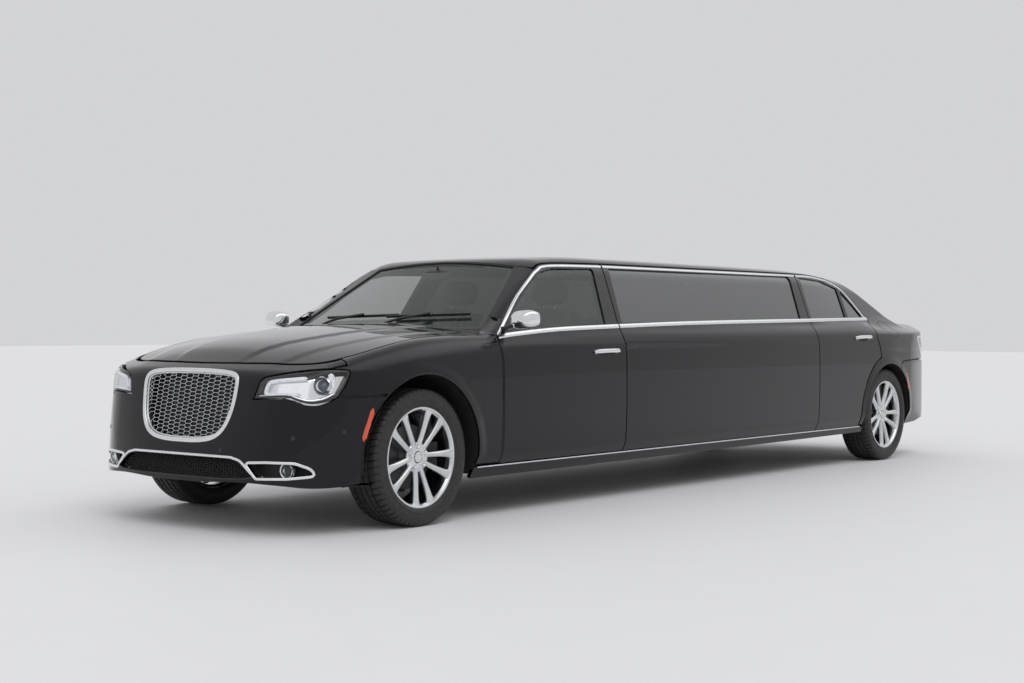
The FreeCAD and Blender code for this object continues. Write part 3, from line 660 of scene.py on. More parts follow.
def facing(points, tris, normals):
    """Triangles turned so that they face the way of their points' normals."""
    across = np.cross(points[tris[:, 1]] - points[tris[:, 0]], points[tris[:, 2]] - points[tris[:, 0]])
    flip = np.einsum("ij,ij->i", across, normals[tris].mean(1)) < 0
    tris = tris.copy()
    tris[flip] = tris[flip][:, ::-1]
    return tris


def sheet(chart, outline, holes=(), field=body_field, spacing=22.0, radius=3.5, depth=22.0, lift=0.0,
          gap=3.5, inner=None):
    """A curved panel over an outline of places, with rolled edges; inner adds a face that far inside."""
    loops = [shrunk(chart.to_uv(outline), gap + radius)]
    loops += [shrunk(chart.to_uv(hole), -radius) for hole in holes]
    verts, tris = fill(loops, spacing)
    start, direction = chart.rays(verts)
    points = cast_rays(field, start, direction, chart.reach, 0.0 if isinstance(chart, Drum) else -chart.reach)
    normals = normals_of(field, points)
    points = points + normals * lift
    tris = facing(points, tris, normals)
    skin = Skin().add(points, tris, normals)
    hem(skin, points, tris, normals, radius, depth)
    if inner is not None:
        skin.add(points - normals * inner, tris[:, ::-1], -normals, 1)
    return skin


# ---------------------------------------------------------------- materials


class Nodes:
    """A small helper for writing node materials."""

    def __init__(self, name):
        self.material = bpy.data.materials.new(name)
        self.material.use_nodes = True
        self.tree = self.material.node_tree
        self.shader = self.tree.nodes["Principled BSDF"]

    def node(self, kind, **settings):
        made = self.tree.nodes.new("ShaderNode" + kind)
        for key, value in settings.items():
            if hasattr(made, key):
                setattr(made, key, value)
            else:
                made.inputs[key.replace("_", " ")].default_value = value
        return made

    def link(self, a, b):
        self.tree.links.new(a, b)
        return self

    def set(self, **values):
        for key, value in values.items():
            socket = self.shader.inputs[key.replace("_", " ")]
            socket.default_value = (*value, 1.0) if isinstance(value, tuple) and len(value) == 3 else value
        return self

    def noise(self, scale, detail=4.0, rough=0.5, stretch=None):
        source = self.node("TexCoord").outputs["Object"]
        if stretch:
            mapping = self.node("Mapping")
            mapping.inputs["Scale"].default_value = stretch
            self.link(source, mapping.inputs["Vector"])
            source = mapping.outputs["Vector"]
        made = self.node("TexNoise", Scale=scale, Detail=detail, Roughness=rough)
        self.link(source, made.inputs["Vector"])
        return made.outputs["Fac"]

    def cells(self, scale, feature="F1"):
        made = self.node("TexVoronoi", feature=feature, Scale=scale)
        self.link(self.node("TexCoord").outputs["Object"], made.inputs["Vector"])
        return made.outputs["Distance"]

    def grain(self, scale):
        """Wood grain."""
        made = self.node("TexWave", wave_type="BANDS", bands_direction="Z", Scale=scale, Distortion=7.0,
                         Detail=4.0)
        self.link(self.node("TexCoord").outputs["Object"], made.inputs["Vector"])
        return made.outputs["Fac"]

    def ramp(self, fac, stops):
        made = self.node("ValToRGB")
        for element, (at, colour) in zip(made.color_ramp.elements, (stops[0], stops[-1])):
            element.position = at
            element.color = (*colour, 1)
        for at, colour in stops[1:-1]:
            made.color_ramp.elements.new(at).color = (*colour, 1)
        self.link(fac, made.inputs["Fac"])
        return made.outputs["Color"]

    def spread(self, fac, low, high):
        made = self.node("MapRange")
        for key, value in (("From Min", 0.3), ("From Max", 0.7), ("To Min", low), ("To Max", high)):
            made.inputs[key].default_value = value
        self.link(fac, made.inputs["Value"])
        return made.outputs["Result"]

    def bump(self, fac, distance, strength=0.4):
        made = self.node("Bump", Strength=strength, Distance=distance)
        self.link(fac, made.inputs["Height"])
        self.link(made.outputs["Normal"], self.shader.inputs["Normal"])
        return self


def surface(name, pattern, stops, rough=None, bump=None, **values):
    """A material. pattern is noise, cells or grain with its scale and so on, and stops are its colours;
    rough is (pattern, lowest, highest) and bump (pattern or None for the same, distance, strength)."""
    m = Nodes(name)

    def made(spec):
        return spec[0](m, *spec[1:])
    fac = made(pattern)
    m.link(m.ramp(fac, stops), m.shader.inputs["Base Color"])
    if rough:
        m.link(m.spread(made(rough[0]), *rough[1:]), m.shader.inputs["Roughness"])
    m.set(**values)
    if bump:
        m.bump(made(bump[0]) if bump[0] else fac, *bump[1:])
    return m.material


def noise(*spec):
    """A noise pattern: scale, detail, roughness."""
    return (Nodes.noise, *spec)


def cells(*spec):
    """A pattern of cells: scale, feature."""
    return (Nodes.cells, *spec)


def tones(dark, light, low=0.3, high=0.7):
    """Two colours and where they lie on a pattern."""
    return [(low, dark), (high, light)]


def glass(name, tint, alpha=None):
    """Lamp glass that light passes through or, with an alpha, window glass under a coat."""
    kind = {"Transmission_Weight": 1.0} if alpha is None else {
        "Alpha": alpha, "Coat_Weight": 1.0, "Coat_Roughness": 0.01}
    return surface(name, noise(1.5), tones(tuple(c * 0.94 for c in tint), tint), (noise(3), 0.0, 0.012),
                   IOR=1.45, Specular_IOR_Level=0.5, **kind)


PAINT = surface("body_paint", noise(900, 2, 0.6),
                tones((0.0010, 0.0011, 0.0018), (0.0024, 0.0027, 0.0046), 0.35, 0.65),
                (noise(6, 3), 0.16, 0.22), Metallic=0.0, Coat_Weight=1.0, Coat_IOR=1.38,
                Coat_Roughness=0.02, Specular_IOR_Level=0.04)
INSIDE = surface("inner_paint", noise(40), tones((0.004, 0.004, 0.005), (0.010, 0.010, 0.012)),
                 Roughness=0.55)
CHROME = surface("chrome", noise(30), tones((0.80, 0.81, 0.83), (0.86, 0.87, 0.88)),
                 (noise(18, 5), 0.05, 0.10), Metallic=1.0)
ALLOY = surface("alloy", noise(14), tones((0.66, 0.67, 0.69), (0.76, 0.77, 0.78)), (noise(60, 5), 0.10, 0.20),
                Metallic=1.0)
STEEL = surface("steel", noise(25, 4.0, 0.5, (1, 1, 12)), tones((0.28, 0.28, 0.28), (0.44, 0.44, 0.45)),
                (noise(80, 3), 0.25, 0.4), Metallic=1.0)
CHASSIS = surface("chassis", noise(20, 6), tones((0.012, 0.012, 0.012), (0.035, 0.034, 0.032)),
                  (noise(50, 4), 0.45, 0.7), (noise(120, 4), 0.0006), Metallic=0.3)
PLASTIC = surface("black_plastic", noise(400, 3), tones((0.010, 0.010, 0.011), (0.022, 0.022, 0.023)),
                  (noise(40), 0.42, 0.55), (noise(700, 3), 0.0003, 0.35))
TYRE = surface("tyre", noise(60, 5), tones((0.010, 0.010, 0.0105), (0.024, 0.024, 0.025)),
               (noise(90, 5), 0.45, 0.7), (noise(500, 4), 0.0004, 0.3))
LEATHER = surface("leather", noise(12, 5), tones((0.016, 0.015, 0.015), (0.030, 0.028, 0.027)),
                  (noise(30), 0.36, 0.52), (cells(420.0, "DISTANCE_TO_EDGE"), 0.0012, 0.35))
CARPET = surface("carpet", noise(350, 3), tones((0.008, 0.008, 0.009), (0.030, 0.030, 0.033)),
                 bump=(noise(500, 3), 0.003, 0.6), Roughness=0.95, Sheen_Weight=0.3, Sheen_Roughness=0.6)
WOOD = surface("wood", (Nodes.grain, 5.0),
               [(0.1, (0.030, 0.011, 0.005)), (0.6, (0.085, 0.032, 0.013)), (0.95, (0.050, 0.018, 0.007))],
               bump=(None, 0.0004, 0.2), Roughness=0.3, Coat_Weight=1.0, Coat_Roughness=0.05)
CLEAR = glass("clear_glass", (0.030, 0.042, 0.038), 0.50)
TINTED = glass("tinted_glass", (0.006, 0.007, 0.008), 0.965)
LENS = glass("lamp_lens", (0.97, 0.98, 0.99))
AMBER = surface("amber_lens", cells(260.0), tones((0.62, 0.075, 0.012), (0.45, 0.040, 0.006), 0.2, 0.8),
                bump=(None, 0.0008), Roughness=0.25, Coat_Weight=1.0, Emission_Color=(0.9, 0.12, 0.02),
                Emission_Strength=0.03)
RED = surface("red_lens", cells(200.0), tones((0.38, 0.006, 0.008), (0.22, 0.003, 0.004), 0.2, 0.8),
              bump=(None, 0.0006), Roughness=0.2, Coat_Weight=1.0, Coat_Roughness=0.02)
TAIL_LENS = glass("tail_lens", (0.16, 0.003, 0.005), 0.70)
REFLECTOR = surface("reflector", noise(90, 3), tones((0.84, 0.85, 0.87), (0.90, 0.91, 0.92)),
                    (noise(150), 0.10, 0.15), Metallic=0.9)
LIGHTBAR = surface("light_bar", cells(150.0), tones((0.95, 0.95, 0.97), (0.45, 0.46, 0.48), 0.1, 0.7),
                   bump=(None, 0.002, 0.8), Roughness=0.15, Coat_Weight=1.0, Emission_Color=(0.92, 0.95, 1.0),
                   Emission_Strength=0.35)
PLATE = surface("blank_plate", noise(30), tones((0.62, 0.62, 0.60), (0.70, 0.70, 0.68)), Roughness=0.35,
                Metallic=0.2)
PROJECTOR = glass("projector_glass", (0.10, 0.12, 0.16), 0.85)
RED_DEEP = surface("red_reflector", noise(120, 3), tones((0.10, 0.002, 0.003), (0.20, 0.004, 0.005)),
                   Roughness=0.3, Metallic=0.6)
HEADLINER = surface("headliner", noise(500, 3), tones((0.30, 0.29, 0.27), (0.38, 0.37, 0.35)),
                    bump=(noise(900, 2), 0.0006, 0.3), Roughness=0.95, Sheen_Weight=0.2)
DISC = surface("brake_disc", noise(160, 4), tones((0.055, 0.055, 0.057), (0.10, 0.10, 0.105)),
               (noise(90, 3), 0.38, 0.5), Metallic=0.8)

SLOT_MATERIALS = {"body_paint": PAINT, "tinted_glass": TINTED, "clear_glass": CLEAR, "chrome": CHROME,
                  "lamp_lens": LENS, "red_lens": RED, "black_plastic": PLASTIC, "leather": LEATHER,
                  "carpet": CARPET, "wood": WOOD, "chassis": CHASSIS, "steel": STEEL, "alloy": ALLOY,
                  "tyre": TYRE}
for part in frame["record"]["subparts"]:
    node = frame["nodes"][part["node"]]
    for obj in (node if isinstance(node, (list, tuple)) else [node]):
        for slot in obj.material_slots:
            slot.material = SLOT_MATERIALS[part["material_slot"]]


# ---------------------------------------------------------------- seams shared by neighbouring panels
LEAN = 85.0
FRONT_TOP = [(SPLIT + LEAN, ROOF - 63), (fore(1420), ROOF - 75), (fore(1265), ROOF - 110),
             (fore(1143), ROOF - 175), (fore(947), ROOF - 296), (fore(790), ROOF - 401),
             (DOOR_FRONT, ROOF - 503)]
REAR_TOP = [(aft(-160), BELT - 170), (aft(-200), BELT - 75), (aft(-185), BELT - 15), (aft(-105), BELT + 75),
            (aft(-160), BELT + 115), (aft(-245), ROOF - 248), (aft(-325), ROOF - 166), (aft(-430), ROOF - 113),
            (aft(-560), ROOF - 76), (aft(-720), ROOF - 58), (aft(-860), ROOF - 52),
            (REAR_SPLIT + LEAN, ROOF - 52)]
RING = 480.0
RING_LOW = math.degrees(math.asin((SILL_TOP - AXLE_Z) / RING))
RING_HIGH = math.degrees(math.acos(150 / RING))


def smooth_path(points, step=14.0):
    """A rounded curve through points (Catmull-Rom), evenly filled."""
    p = [np.asarray(q, float) for q in points]
    p = [2 * p[0] - p[1]] + p + [2 * p[-1] - p[-2]]
    made = []
    for i in range(1, len(p) - 2):
        n = max(1, int(round(np.linalg.norm(p[i + 1] - p[i]) / step)))
        for k in range(n):
            t = k / n
            made.append(0.5 * (2 * p[i] + (p[i + 1] - p[i - 1]) * t
                               + (2 * p[i - 1] - 5 * p[i] + 4 * p[i + 1] - p[i + 2]) * t ** 2
                               + (3 * p[i] - p[i - 1] - 3 * p[i + 1] + p[i + 2]) * t ** 3))
    made.append(p[-2])
    return made


def circle(axle, radius, start, end):
    """Places (y, z) on a circle round an axle, degrees from straight ahead, going over the top."""
    n = max(2, int(abs(end - start) / 2))
    return [(axle - radius * math.cos(math.radians(start + (end - start) * k / n)),
             AXLE_Z + radius * math.sin(math.radians(start + (end - start) * k / n))) for k in range(n + 1)]


front_top = smooth_path(FRONT_TOP)
rear_top = smooth_path(REAR_TOP)
front_door_loop = straight((DOOR_FRONT, SILL_TOP), (SPLIT, SILL_TOP), (SPLIT, BELT + 15),
    front_top[0])[:-1] + front_top
ring_run = circle(REAR_AXLE, RING, RING_LOW, RING_HIGH)
rear_door_loop = straight(rear_top[-1], (REAR_SPLIT, BELT + 50), (REAR_SPLIT, SILL_TOP),
                          ring_run[0])[:-1] + ring_run + rear_top[:-1]
side_loop = dense([(SPLIT, SILL_TOP), (REAR_SPLIT, SILL_TOP), (REAR_SPLIT, BELT + 50), rear_top[-1],
                  front_top[0], (SPLIT, BELT + 15)])

WINDOWS = {
    "front": [(fore(775), BELT - 14, 12), (fore(1738), BELT + 22, 14), (fore(1840), ROOF - 100, 16),
              (fore(1420), ROOF - 110, 60), (fore(1290), ROOF - 138, 60), (fore(1165), ROOF - 205, 60),
              (fore(970), ROOF - 326, 60), (fore(850), ROOF - 411, 50)],
    "side": [(SPLIT + 52, BELT + 34, 16), (REAR_SPLIT - 130, BELT + 66, 16), (REAR_SPLIT - 25, ROOF - 80, 20),
             (SPLIT + 145, ROOF - 94, 20)],
    "rear": [(REAR_SPLIT + 52, BELT + 76, 14), (aft(-520), BELT + 88, 8), (aft(-448), ROOF - 153, 10),
             (aft(-680), ROOF - 98, 60), (REAR_SPLIT + 135, ROOF - 80, 20)],
    "quarter": [(aft(-468), BELT + 90, 8), (aft(-195), BELT + 92, 10), (aft(-290), ROOF - 262, 60),
                (aft(-398), ROOF - 168, 12)],
}
windows = {name: dense(rounded(path, 20)) for name, path in WINDOWS.items()}
SIDE_CHART = Flat((1, 0, 0), reach=1100)

# hood edge, from the centre of its front round to the centre of its rear
HOOD_SIDE = [(0, -691), (170, -686), (340, -672), (520, -641), (660, -585), (735, -520), (775, -430),
             (798, -320), (806, -100), (803, 150), (792, 400), (766, 600)]
hood_side = plan([(x, fore(d)) for x, d in smooth_path(HOOD_SIDE)])
hood_rear = plan([(x, fore(d)) for x, d in smooth_path([(766, 600), (560, 560), (300, 533), (0, 524)], 20)])
lamp_top = front(smooth_path([(481, 685), (498, 735), (522, 786), (595, 806), (670, 820), (745, 830),
                 (814, 837)], 10))
lamp_rear = side([(fore(d), z) for d, z in smooth_path([(-580, 837), (-506, 833), (-500, 816), (-527, 761),
                 (-565, 702)], 10)])
lamp_low = front(smooth_path([(858, 702), (832, 675), (794, 663), (748, 669), (706, 684), (670, 695),
                 (581, 692), (481, 685)], 10))
lamp_loop = joined(lamp_top, lamp_rear, lamp_low)


# ---------------------------------------------------------------- painted panels


def hood_index(y):
    """The point of the hood's side edge that is nearest to a station."""
    return int(np.argmin(np.abs(hood_side[:, 1] - y)))


CORNER = hood_index(fore(-462))
strip = plan([(780, fore(-466)), (812, fore(-474)), (845, fore(-488))])
to_door = plan([(790, fore(610)), (820, fore(625)), (850, fore(638))])
door_front_edge = side(straight((DOOR_FRONT, BELT - 50), (DOOR_FRONT, SILL_TOP)))
front_arch = side(circle(FRONT_AXLE, 439, 189.9, 50))
fascia_seam = side([(fore(d), z) for d, z in smooth_path([(-283, 701), (-330, 701), (-438, 697),
                   (-559, 700)])])
fender_loop = joined(hood_side[CORNER:], to_door, door_front_edge, side([(DOOR_FRONT - 60, SILL_TOP)]),
                     front_arch, fascia_seam, flipped(lamp_rear), flipped(strip))

chin_side = side(straight((fore(-424), 252), (fore(-520), 246)))
chin = front([(x, z) for x, z in smooth_path([(885, 244), (800, 240), (640, 255), (437, 262), (180, 252),
             (0, 252)], 20)])
front_arch_low = side(circle(FRONT_AXLE, 439, 50, -14))
half_fascia = joined(hood_side[:CORNER + 1], strip, flipped(lamp_rear)[-1:], flipped(lamp_top),
                     flipped(lamp_low), flipped(fascia_seam), front_arch_low, chin_side, chin)
fascia_loop = whole(half_fascia)

GRILLE_SIDE = [(0, 813), (120, 812), (230, 808), (300, 801), (334, 790), (348, 768), (349, 730), (343, 670),
               (331, 610), (310, 556), (278, 515), (232, 489), (170, 475), (90, 469), (0, 468)]
grille_half = smooth_path(GRILLE_SIDE, 9)
grille_path = grille_half + [(-x, z) for x, z in reversed(grille_half[1:-1])]
LOW_GRILLE = [(0, 383, 0), (350, 383, 40), (420, 372, 30), (535, 300, 10), (470, 286, 30), (330, 281, 0),
              (0, 281, 0)]
low_path = rounded(LOW_GRILLE + [(-x, z, r) for x, z, r in reversed(LOW_GRILLE[1:-1])], 0, 9)
FOG = [(478, 362, 10), (600, 368, 40), (730, 366, 60), (786, 340, 40), (800, 308, 14), (700, 296, 60),
       (545, 292, 12)]
fog_path = rounded(FOG, 10, 9)
grille_loop, low_loop, fog_loop = front(dense(grille_path)), front(dense(low_path)), front(dense(fog_path))

lid_side = plan(straight((690, aft(460)), (690, aft(900))))
lid_rear = rear(straight((690, 1015), (688, 790), (680, 779)))
lid_front = plan(straight((0, aft(460)), (600, aft(460)), (690, aft(460))))
lid_bottom = rear(straight((680, 777), (0, 777)))
lid_half = joined(lid_front, lid_side, lid_rear, lid_bottom)
lid_loop = whole(lid_half)

screen_edge = smooth_path([(630, BELT + 96), (600, BELT + 180), (572, ROOF - 180), (548, ROOF - 96)])
rear_screen_side = rear(screen_edge, cabin_field)
rear_screen_top = rear(smooth_path([(548, ROOF - 96), (380, ROOF - 84), (180, ROOF - 75), (0, ROOF - 72)],
                       20), cabin_field)
rear_screen_low = rear(straight((0, BELT + 96), (630, BELT + 96)), cabin_field)
pillar_top = side([(aft(-560), ROOF - 76)])
door_rear_edge = side([p for p in rear_top if p[0] > aft(-560)])
roof_corner = plan([(600, aft(-500)), (575, aft(-330))])
SEAM_ANGLE = 122.0
seam_side = side([(aft(d), z) for d, z in smooth_path([(216, 710), (228, 752), (262, 778), (359, 790),
                 (601, 797), (700, 798)])])
seam_rear = rear(smooth_path([(890, 798), (800, 790), (690, 777)]))
quarter_arch = side(circle(REAR_AXLE, 408, SEAM_ANGLE, -10.7))
quarter_loop = joined(side(ring_run), door_rear_edge, pillar_top, roof_corner, flipped(rear_screen_side),
                      plan(straight((640, aft(375)), (690, aft(455)))), lid_side, lid_rear,
                      flipped(seam_rear), flipped(seam_side), quarter_arch, side([(aft(-440), SILL_TOP)]))
lamp_rear_loop = rear(dense(rounded([(722, 806), (852, 806), (900, 985), (738, 1000)], 22)))
PIPE_X, PIPE_Z = 560, 315
bumper_arch = side(circle(REAR_AXLE, 408, SEAM_ANGLE, 194))
bumper_low_side = side(straight((aft(396), 266), (aft(640), 276)))
bumper_low = rear(straight((860, 300), (PIPE_X + 78, 304), (PIPE_X + 66, 372), (PIPE_X - 66, 372),
                  (PIPE_X - 78, 304), (0, 304)))
bumper_half = joined(rear(straight((0, 777), (690, 777))), flipped(seam_rear), flipped(seam_side),
                     bumper_arch, bumper_low_side, bumper_low)
bumper_loop = whole(bumper_half)
shelf_half = joined(rear_screen_low, flipped(lid_front))
shelf_loop = whole(shelf_half)

screen_side = front(smooth_path([(755, BELT - 10), (700, BELT + 90), (628, BELT + 230), (552, ROOF - 100)]),
                    cabin_field)
screen_top = front(smooth_path([(552, ROOF - 100), (400, ROOF - 84), (200, ROOF - 69), (0, ROOF - 62)], 20),
                   cabin_field)
screen_low = front(straight((0, BELT - 10), (755, BELT - 10)), cabin_field)
screen_half = joined(screen_low, screen_side, screen_top)
screen_loop = whole(screen_half)
back_half = joined(rear_screen_low, rear_screen_side, rear_screen_top)
back_loop = whole(back_half)
door_top_front = [i for i, (y, z) in enumerate(front_top) if y >= fore(1262)]
roof_left = joined(side([front_top[i] for i in reversed(door_top_front)]),
                   side(straight(front_top[0], rear_top[-1])),
                   side([p for p in reversed(rear_top) if p[0] <= aft(-560)]))
roof_half = joined(flipped(screen_top), roof_left, pillar_top, roof_corner, rear_screen_top)
roof_loop = whole(roof_half)
cowl_half = joined(flipped(hood_rear), plan([(766, fore(640))]), flipped(screen_low))
cowl_loop = whole(cowl_half)


def below(path, drop):
    """A line of (y, z) points moved to the side under it."""
    p = np.array(path)
    t = np.gradient(p, axis=0)
    t = unit(t)
    way = 1 if t[:, 0].mean() > 0 else -1
    return [tuple(q) for q in p + np.stack([t[:, 1], -t[:, 0]], 1) * drop * way]


def low_edge(y0, y1):
    """Lower edge of the sills between two places along the car."""
    ys = np.arange(y0, y1, 60)
    return [(y, GROUND + np.interp(y, LOWER_Y, LOWER_COLUMNS[1]) + 17) for y in list(ys) + [y1]]


sill_loop = side(dense([(FRONT_AXLE + 432, SILL_TOP - 1)] + [(REAR_AXLE - 401, SILL_TOP - 1)]
                       + low_edge(FRONT_AXLE + 413, REAR_AXLE - 384)[::-1]))

TOP_CHART = Flat((0, 0, 1), (0, 0, 1200), 700)
HOOD_CHART = Flat((0, -0.25, 0.97), (0, FRONT_AXLE, 950))
COWL_CHART = Flat((0, -0.25, 0.97), (0, fore(600), 1000))
LID_CHART = Flat((0, 0.7, 0.7), (0, TAIL, 900))
SHELF_CHART = Flat((0, 0.3, 0.9), (0, aft(420), 1100))
FENDER_CHART = Flat((0.75, -0.1, 0.65), (850, FRONT_AXLE, 600))
QUARTER_CHART = Flat((0.6, 0.45, 0.65), (850, REAR_AXLE, 800))
SILL_CHART = Flat((1, 0, -0.15), (900, 0, 240), 400)
NOSE_CHART = Drum(fore(-120), -1, 900)
TAIL_END_CHART = Drum(aft(150), 1, 900)
LAMP_CHART = Flat((0.6, -0.8, 0.1), (700, fore(-700), 750), 500)
TAIL_CHART = Flat((0.5, 0.85, 0.1), (800, TAIL, 900), 500)
DEEP = {"depth": 40, "inner": 40}
LID_DEPTH = {"depth": 22, "inner": 22, "spacing": 20}


def glazed(loop, names, spacing):
    """A side panel with its window openings."""
    openings = [side(windows[name], cabin_field) for name in names]
    return sheet(SIDE_CHART, side(loop), openings, spacing=spacing, **DEEP)


doors = (("front_door", glazed(front_door_loop, ["front"], 26)),
         ("rear_door", glazed(rear_door_loop, ["rear", "quarter"], 26)))
side_panel = glazed(side_loop, ["side"], 30)
for name, skin in doors:
    hands(skin, name + "_skin", [PAINT, PLASTIC], name, "body_paint", [name])
hood_loop = whole(joined(hood_side, hood_rear))
openings = [grille_loop, low_loop, fog_loop, mirror(flipped(fog_loop))]
# name, sheet, second material, body, node that it stands for
for name, skin, second, body, node in (
        ("stretch_panels", side_panel.both(), PLASTIC, "body", "side_panels"),
        ("fender_skins", sheet(FENDER_CHART, fender_loop, spacing=20, **DEEP).both(), INSIDE, "body",
         "front_fenders"),
        ("front_bumper_skin", sheet(NOSE_CHART, fascia_loop, openings, spacing=20, depth=30), None, "body",
         "front_bumper"),
        ("quarter_skins", sheet(QUARTER_CHART, quarter_loop, [lamp_rear_loop], spacing=18, **DEEP).both(),
         INSIDE, "body", "quarter_panels"),
        ("rear_bumper_skin", sheet(TAIL_END_CHART, bumper_loop, spacing=20, depth=30), None, "body",
         "rear_bumper"),
        ("hood_skin", sheet(HOOD_CHART, hood_loop, **LID_DEPTH), INSIDE, "hood", "hood"),
        ("trunk_lid_skin", sheet(LID_CHART, lid_loop, **LID_DEPTH), INSIDE, "trunk_lid", "trunk_lid"),
        ("roof_skin", sheet(TOP_CHART, roof_loop, spacing=32, depth=26, inner=26), HEADLINER, "body", "roof"),
        ("rear_shelf", sheet(SHELF_CHART, shelf_loop, spacing=20, depth=30), None, "body", None)):
    skin.object(name, [PAINT] + ([second] if second else []), body, "body_paint", [node] if node else ())


def between(first, second, out):
    """A strip of skin on the surface between two edges that run the same way, its creases eased."""
    inset, rows, columns, rounds = (3.0, 8.0), 90, 18, 10

    def spaced(path):
        run = np.concatenate([[0], np.cumsum(np.linalg.norm(np.diff(path, axis=0), axis=1))])
        return np.stack([np.interp(np.linspace(0, run[-1], rows + 1), run, path[:, k]) for k in range(3)], 1)
    a, b = spaced(np.asarray(first)), spaced(np.asarray(second))
    width = np.maximum(np.linalg.norm(b - a, axis=1), 2 * sum(inset))[:, None]
    t = inset[0] / width + (1 - sum(inset) / width) * np.linspace(0, 1, columns + 1)[None]
    start = (a[:, None] * (1 - t[..., None]) + b[:, None] * t[..., None]).reshape(-1, 3)
    points = cast_rays(body_field, start, np.array(out) / np.linalg.norm(out), 140, -90)
    grid = points.reshape(rows + 1, columns + 1, 3)
    for _ in range(rounds):
        grid[1:-1, 1:-1] = (grid[:-2, 1:-1] + grid[2:, 1:-1] + grid[1:-1, :-2] + grid[1:-1, 2:]) / 4
    normals = np.cross(np.gradient(grid, axis=0), np.gradient(grid, axis=1)).reshape(-1, 3)
    normals = unit(normals)
    if (normals @ np.array(out)).mean() < 0:
        normals = -normals
    points = grid.reshape(-1, 3)
    m = columns + 1
    tris = []
    for i in range(rows):
        for k in range(columns):
            c = i * m + k
            tris += [(c, c + m, c + m + 1), (c, c + m + 1, c + 1)]
    tris = facing(points, np.array(tris), normals)
    skin = Skin().add(points, tris, normals)
    hem(skin, points, tris, normals, 3.0, 14.0)
    return skin


pillar_low = joined(front([(772, BELT - 34)]), screen_side)
pillar_high = joined(to_door[:1], side([p for p in below(front_top[::-1], 7.0) if p[0] < fore(1262)]))
between(pillar_low, pillar_high, (0.72, -0.45, 0.53)).both().object(
    "pillar_skins", [PAINT], "body", "body_paint", ["a_pillars"])
sheet(COWL_CHART, cowl_loop, spacing=20).object("cowl_skin", [PLASTIC], "body", "black_plastic", ["cowl"])
sheet(SILL_CHART, sill_loop, spacing=26).both().object("sill_skins", [PAINT], "body", "body_paint", ["sills"])
for chart, loop, name, glass_material, slot_name, node in (
        (LAMP_CHART, lamp_loop, "headlight_lenses", LENS, "lamp_lens", "headlights"),
        (TAIL_CHART, lamp_rear_loop, "taillight_lenses", TAIL_LENS, "red_lens", "taillights")):
    sheet(chart, loop, spacing=16, gap=2).both().object(name, [glass_material], "body", slot_name, [node])


# ---------------------------------------------------------------- swept and turned shapes


def tangents_of(path, closed):
    """Directions along a path."""
    if closed:
        t = np.roll(path, -1, axis=0) - np.roll(path, 1, axis=0)
    else:
        t = np.gradient(path, axis=0)
    return unit(t)


def sweep(path, normals, profile, closed=False, taper=0):
    """A closed profile of (across, out) points carried along a path of places with their normals."""
    path, normals = np.asarray(path, float), np.asarray(normals, float)
    t = tangents_of(path, closed)
    normals = normals - t * (normals * t).sum(1)[:, None]
    normals = unit(normals)
    across = np.cross(t, normals)
    n, m = len(path), len(profile)
    profile = np.asarray(profile, float)
    scale = np.ones(n)
    if taper:
        reach = np.concatenate([[0], np.cumsum(np.linalg.norm(np.diff(path, axis=0), axis=1))])
        scale = np.clip(np.minimum(reach, reach[-1] - reach) / taper, 0.05, 1) ** 0.5
    rings = (path[:, None] + across[:, None] * (profile[None, :, :1] * scale[:, None, None])
             + normals[:, None] * (profile[None, :, 1:] * scale[:, None, None])).reshape(-1, 3)
    turn = np.roll(profile, -1, axis=0) - np.roll(profile, 1, axis=0)
    flat = np.stack([turn[:, 1], -turn[:, 0]], 1)
    area = np.sum(profile[:, 0] * np.roll(profile[:, 1], -1) - np.roll(profile[:, 0], -1) * profile[:, 1])
    flat *= 1 if area > 0 else -1
    flat = unit(flat)
    ring_normals = (across[:, None] * flat[None, :, :1] + normals[:, None] * flat[None, :, 1:]).reshape(-1, 3)
    faces = []
    for i in range(n if closed else n - 1):
        j = (i + 1) % n
        for k in range(m):
            q = (k + 1) % m
            face = (i * m + k, i * m + q, j * m + q, j * m + k)
            faces.append(face if area < 0 else face[::-1])
    skin = Skin().add(rings, faces, ring_normals)
    if not closed:
        for i, way in ((0, 1), (n - 1, -1)):
            cap = tuple(range(m))
            cap = cap if (area > 0) == (way > 0) else cap[::-1]
            skin.add(rings[i * m:(i + 1) * m], [cap[::-1]], np.tile(-t[i] * way, (m, 1)))
    return skin


def half_round(width, height, sink=2.0, flatness=2.6, count=9):
    """A bar's section: flat below, domed above."""
    a = np.linspace(0, math.pi, count)
    c, s = np.cos(a), np.sin(a)
    top = [(width / 2 * abs(x) ** (2 / flatness) * np.sign(x), height * abs(z) ** (2 / flatness))
           for x, z in zip(c, s)]
    return top + [(-width / 2, -sink), (width / 2, -sink)]


def tube_section(radius, count=10):
    """A round section."""
    return [(radius * math.cos(2 * math.pi * k / count), radius * math.sin(2 * math.pi * k / count))
            for k in range(count)]


def rod(points, normal, section, step=None):
    """A bar along points in space, smoothed where a step is given, with one direction for its top."""
    path = np.array(smooth_path(points, step) if step else points, float)
    return sweep(path, np.tile(normal, (len(path), 1)), section)


def oval(half_width, half_height, power, count):
    """A flattened oval section."""
    turns = np.linspace(0, 2 * math.pi, count, endpoint=False)
    return [(half_width * abs(math.cos(a)) ** power * np.sign(math.cos(a)), half_height * math.sin(a))
            for a in turns]


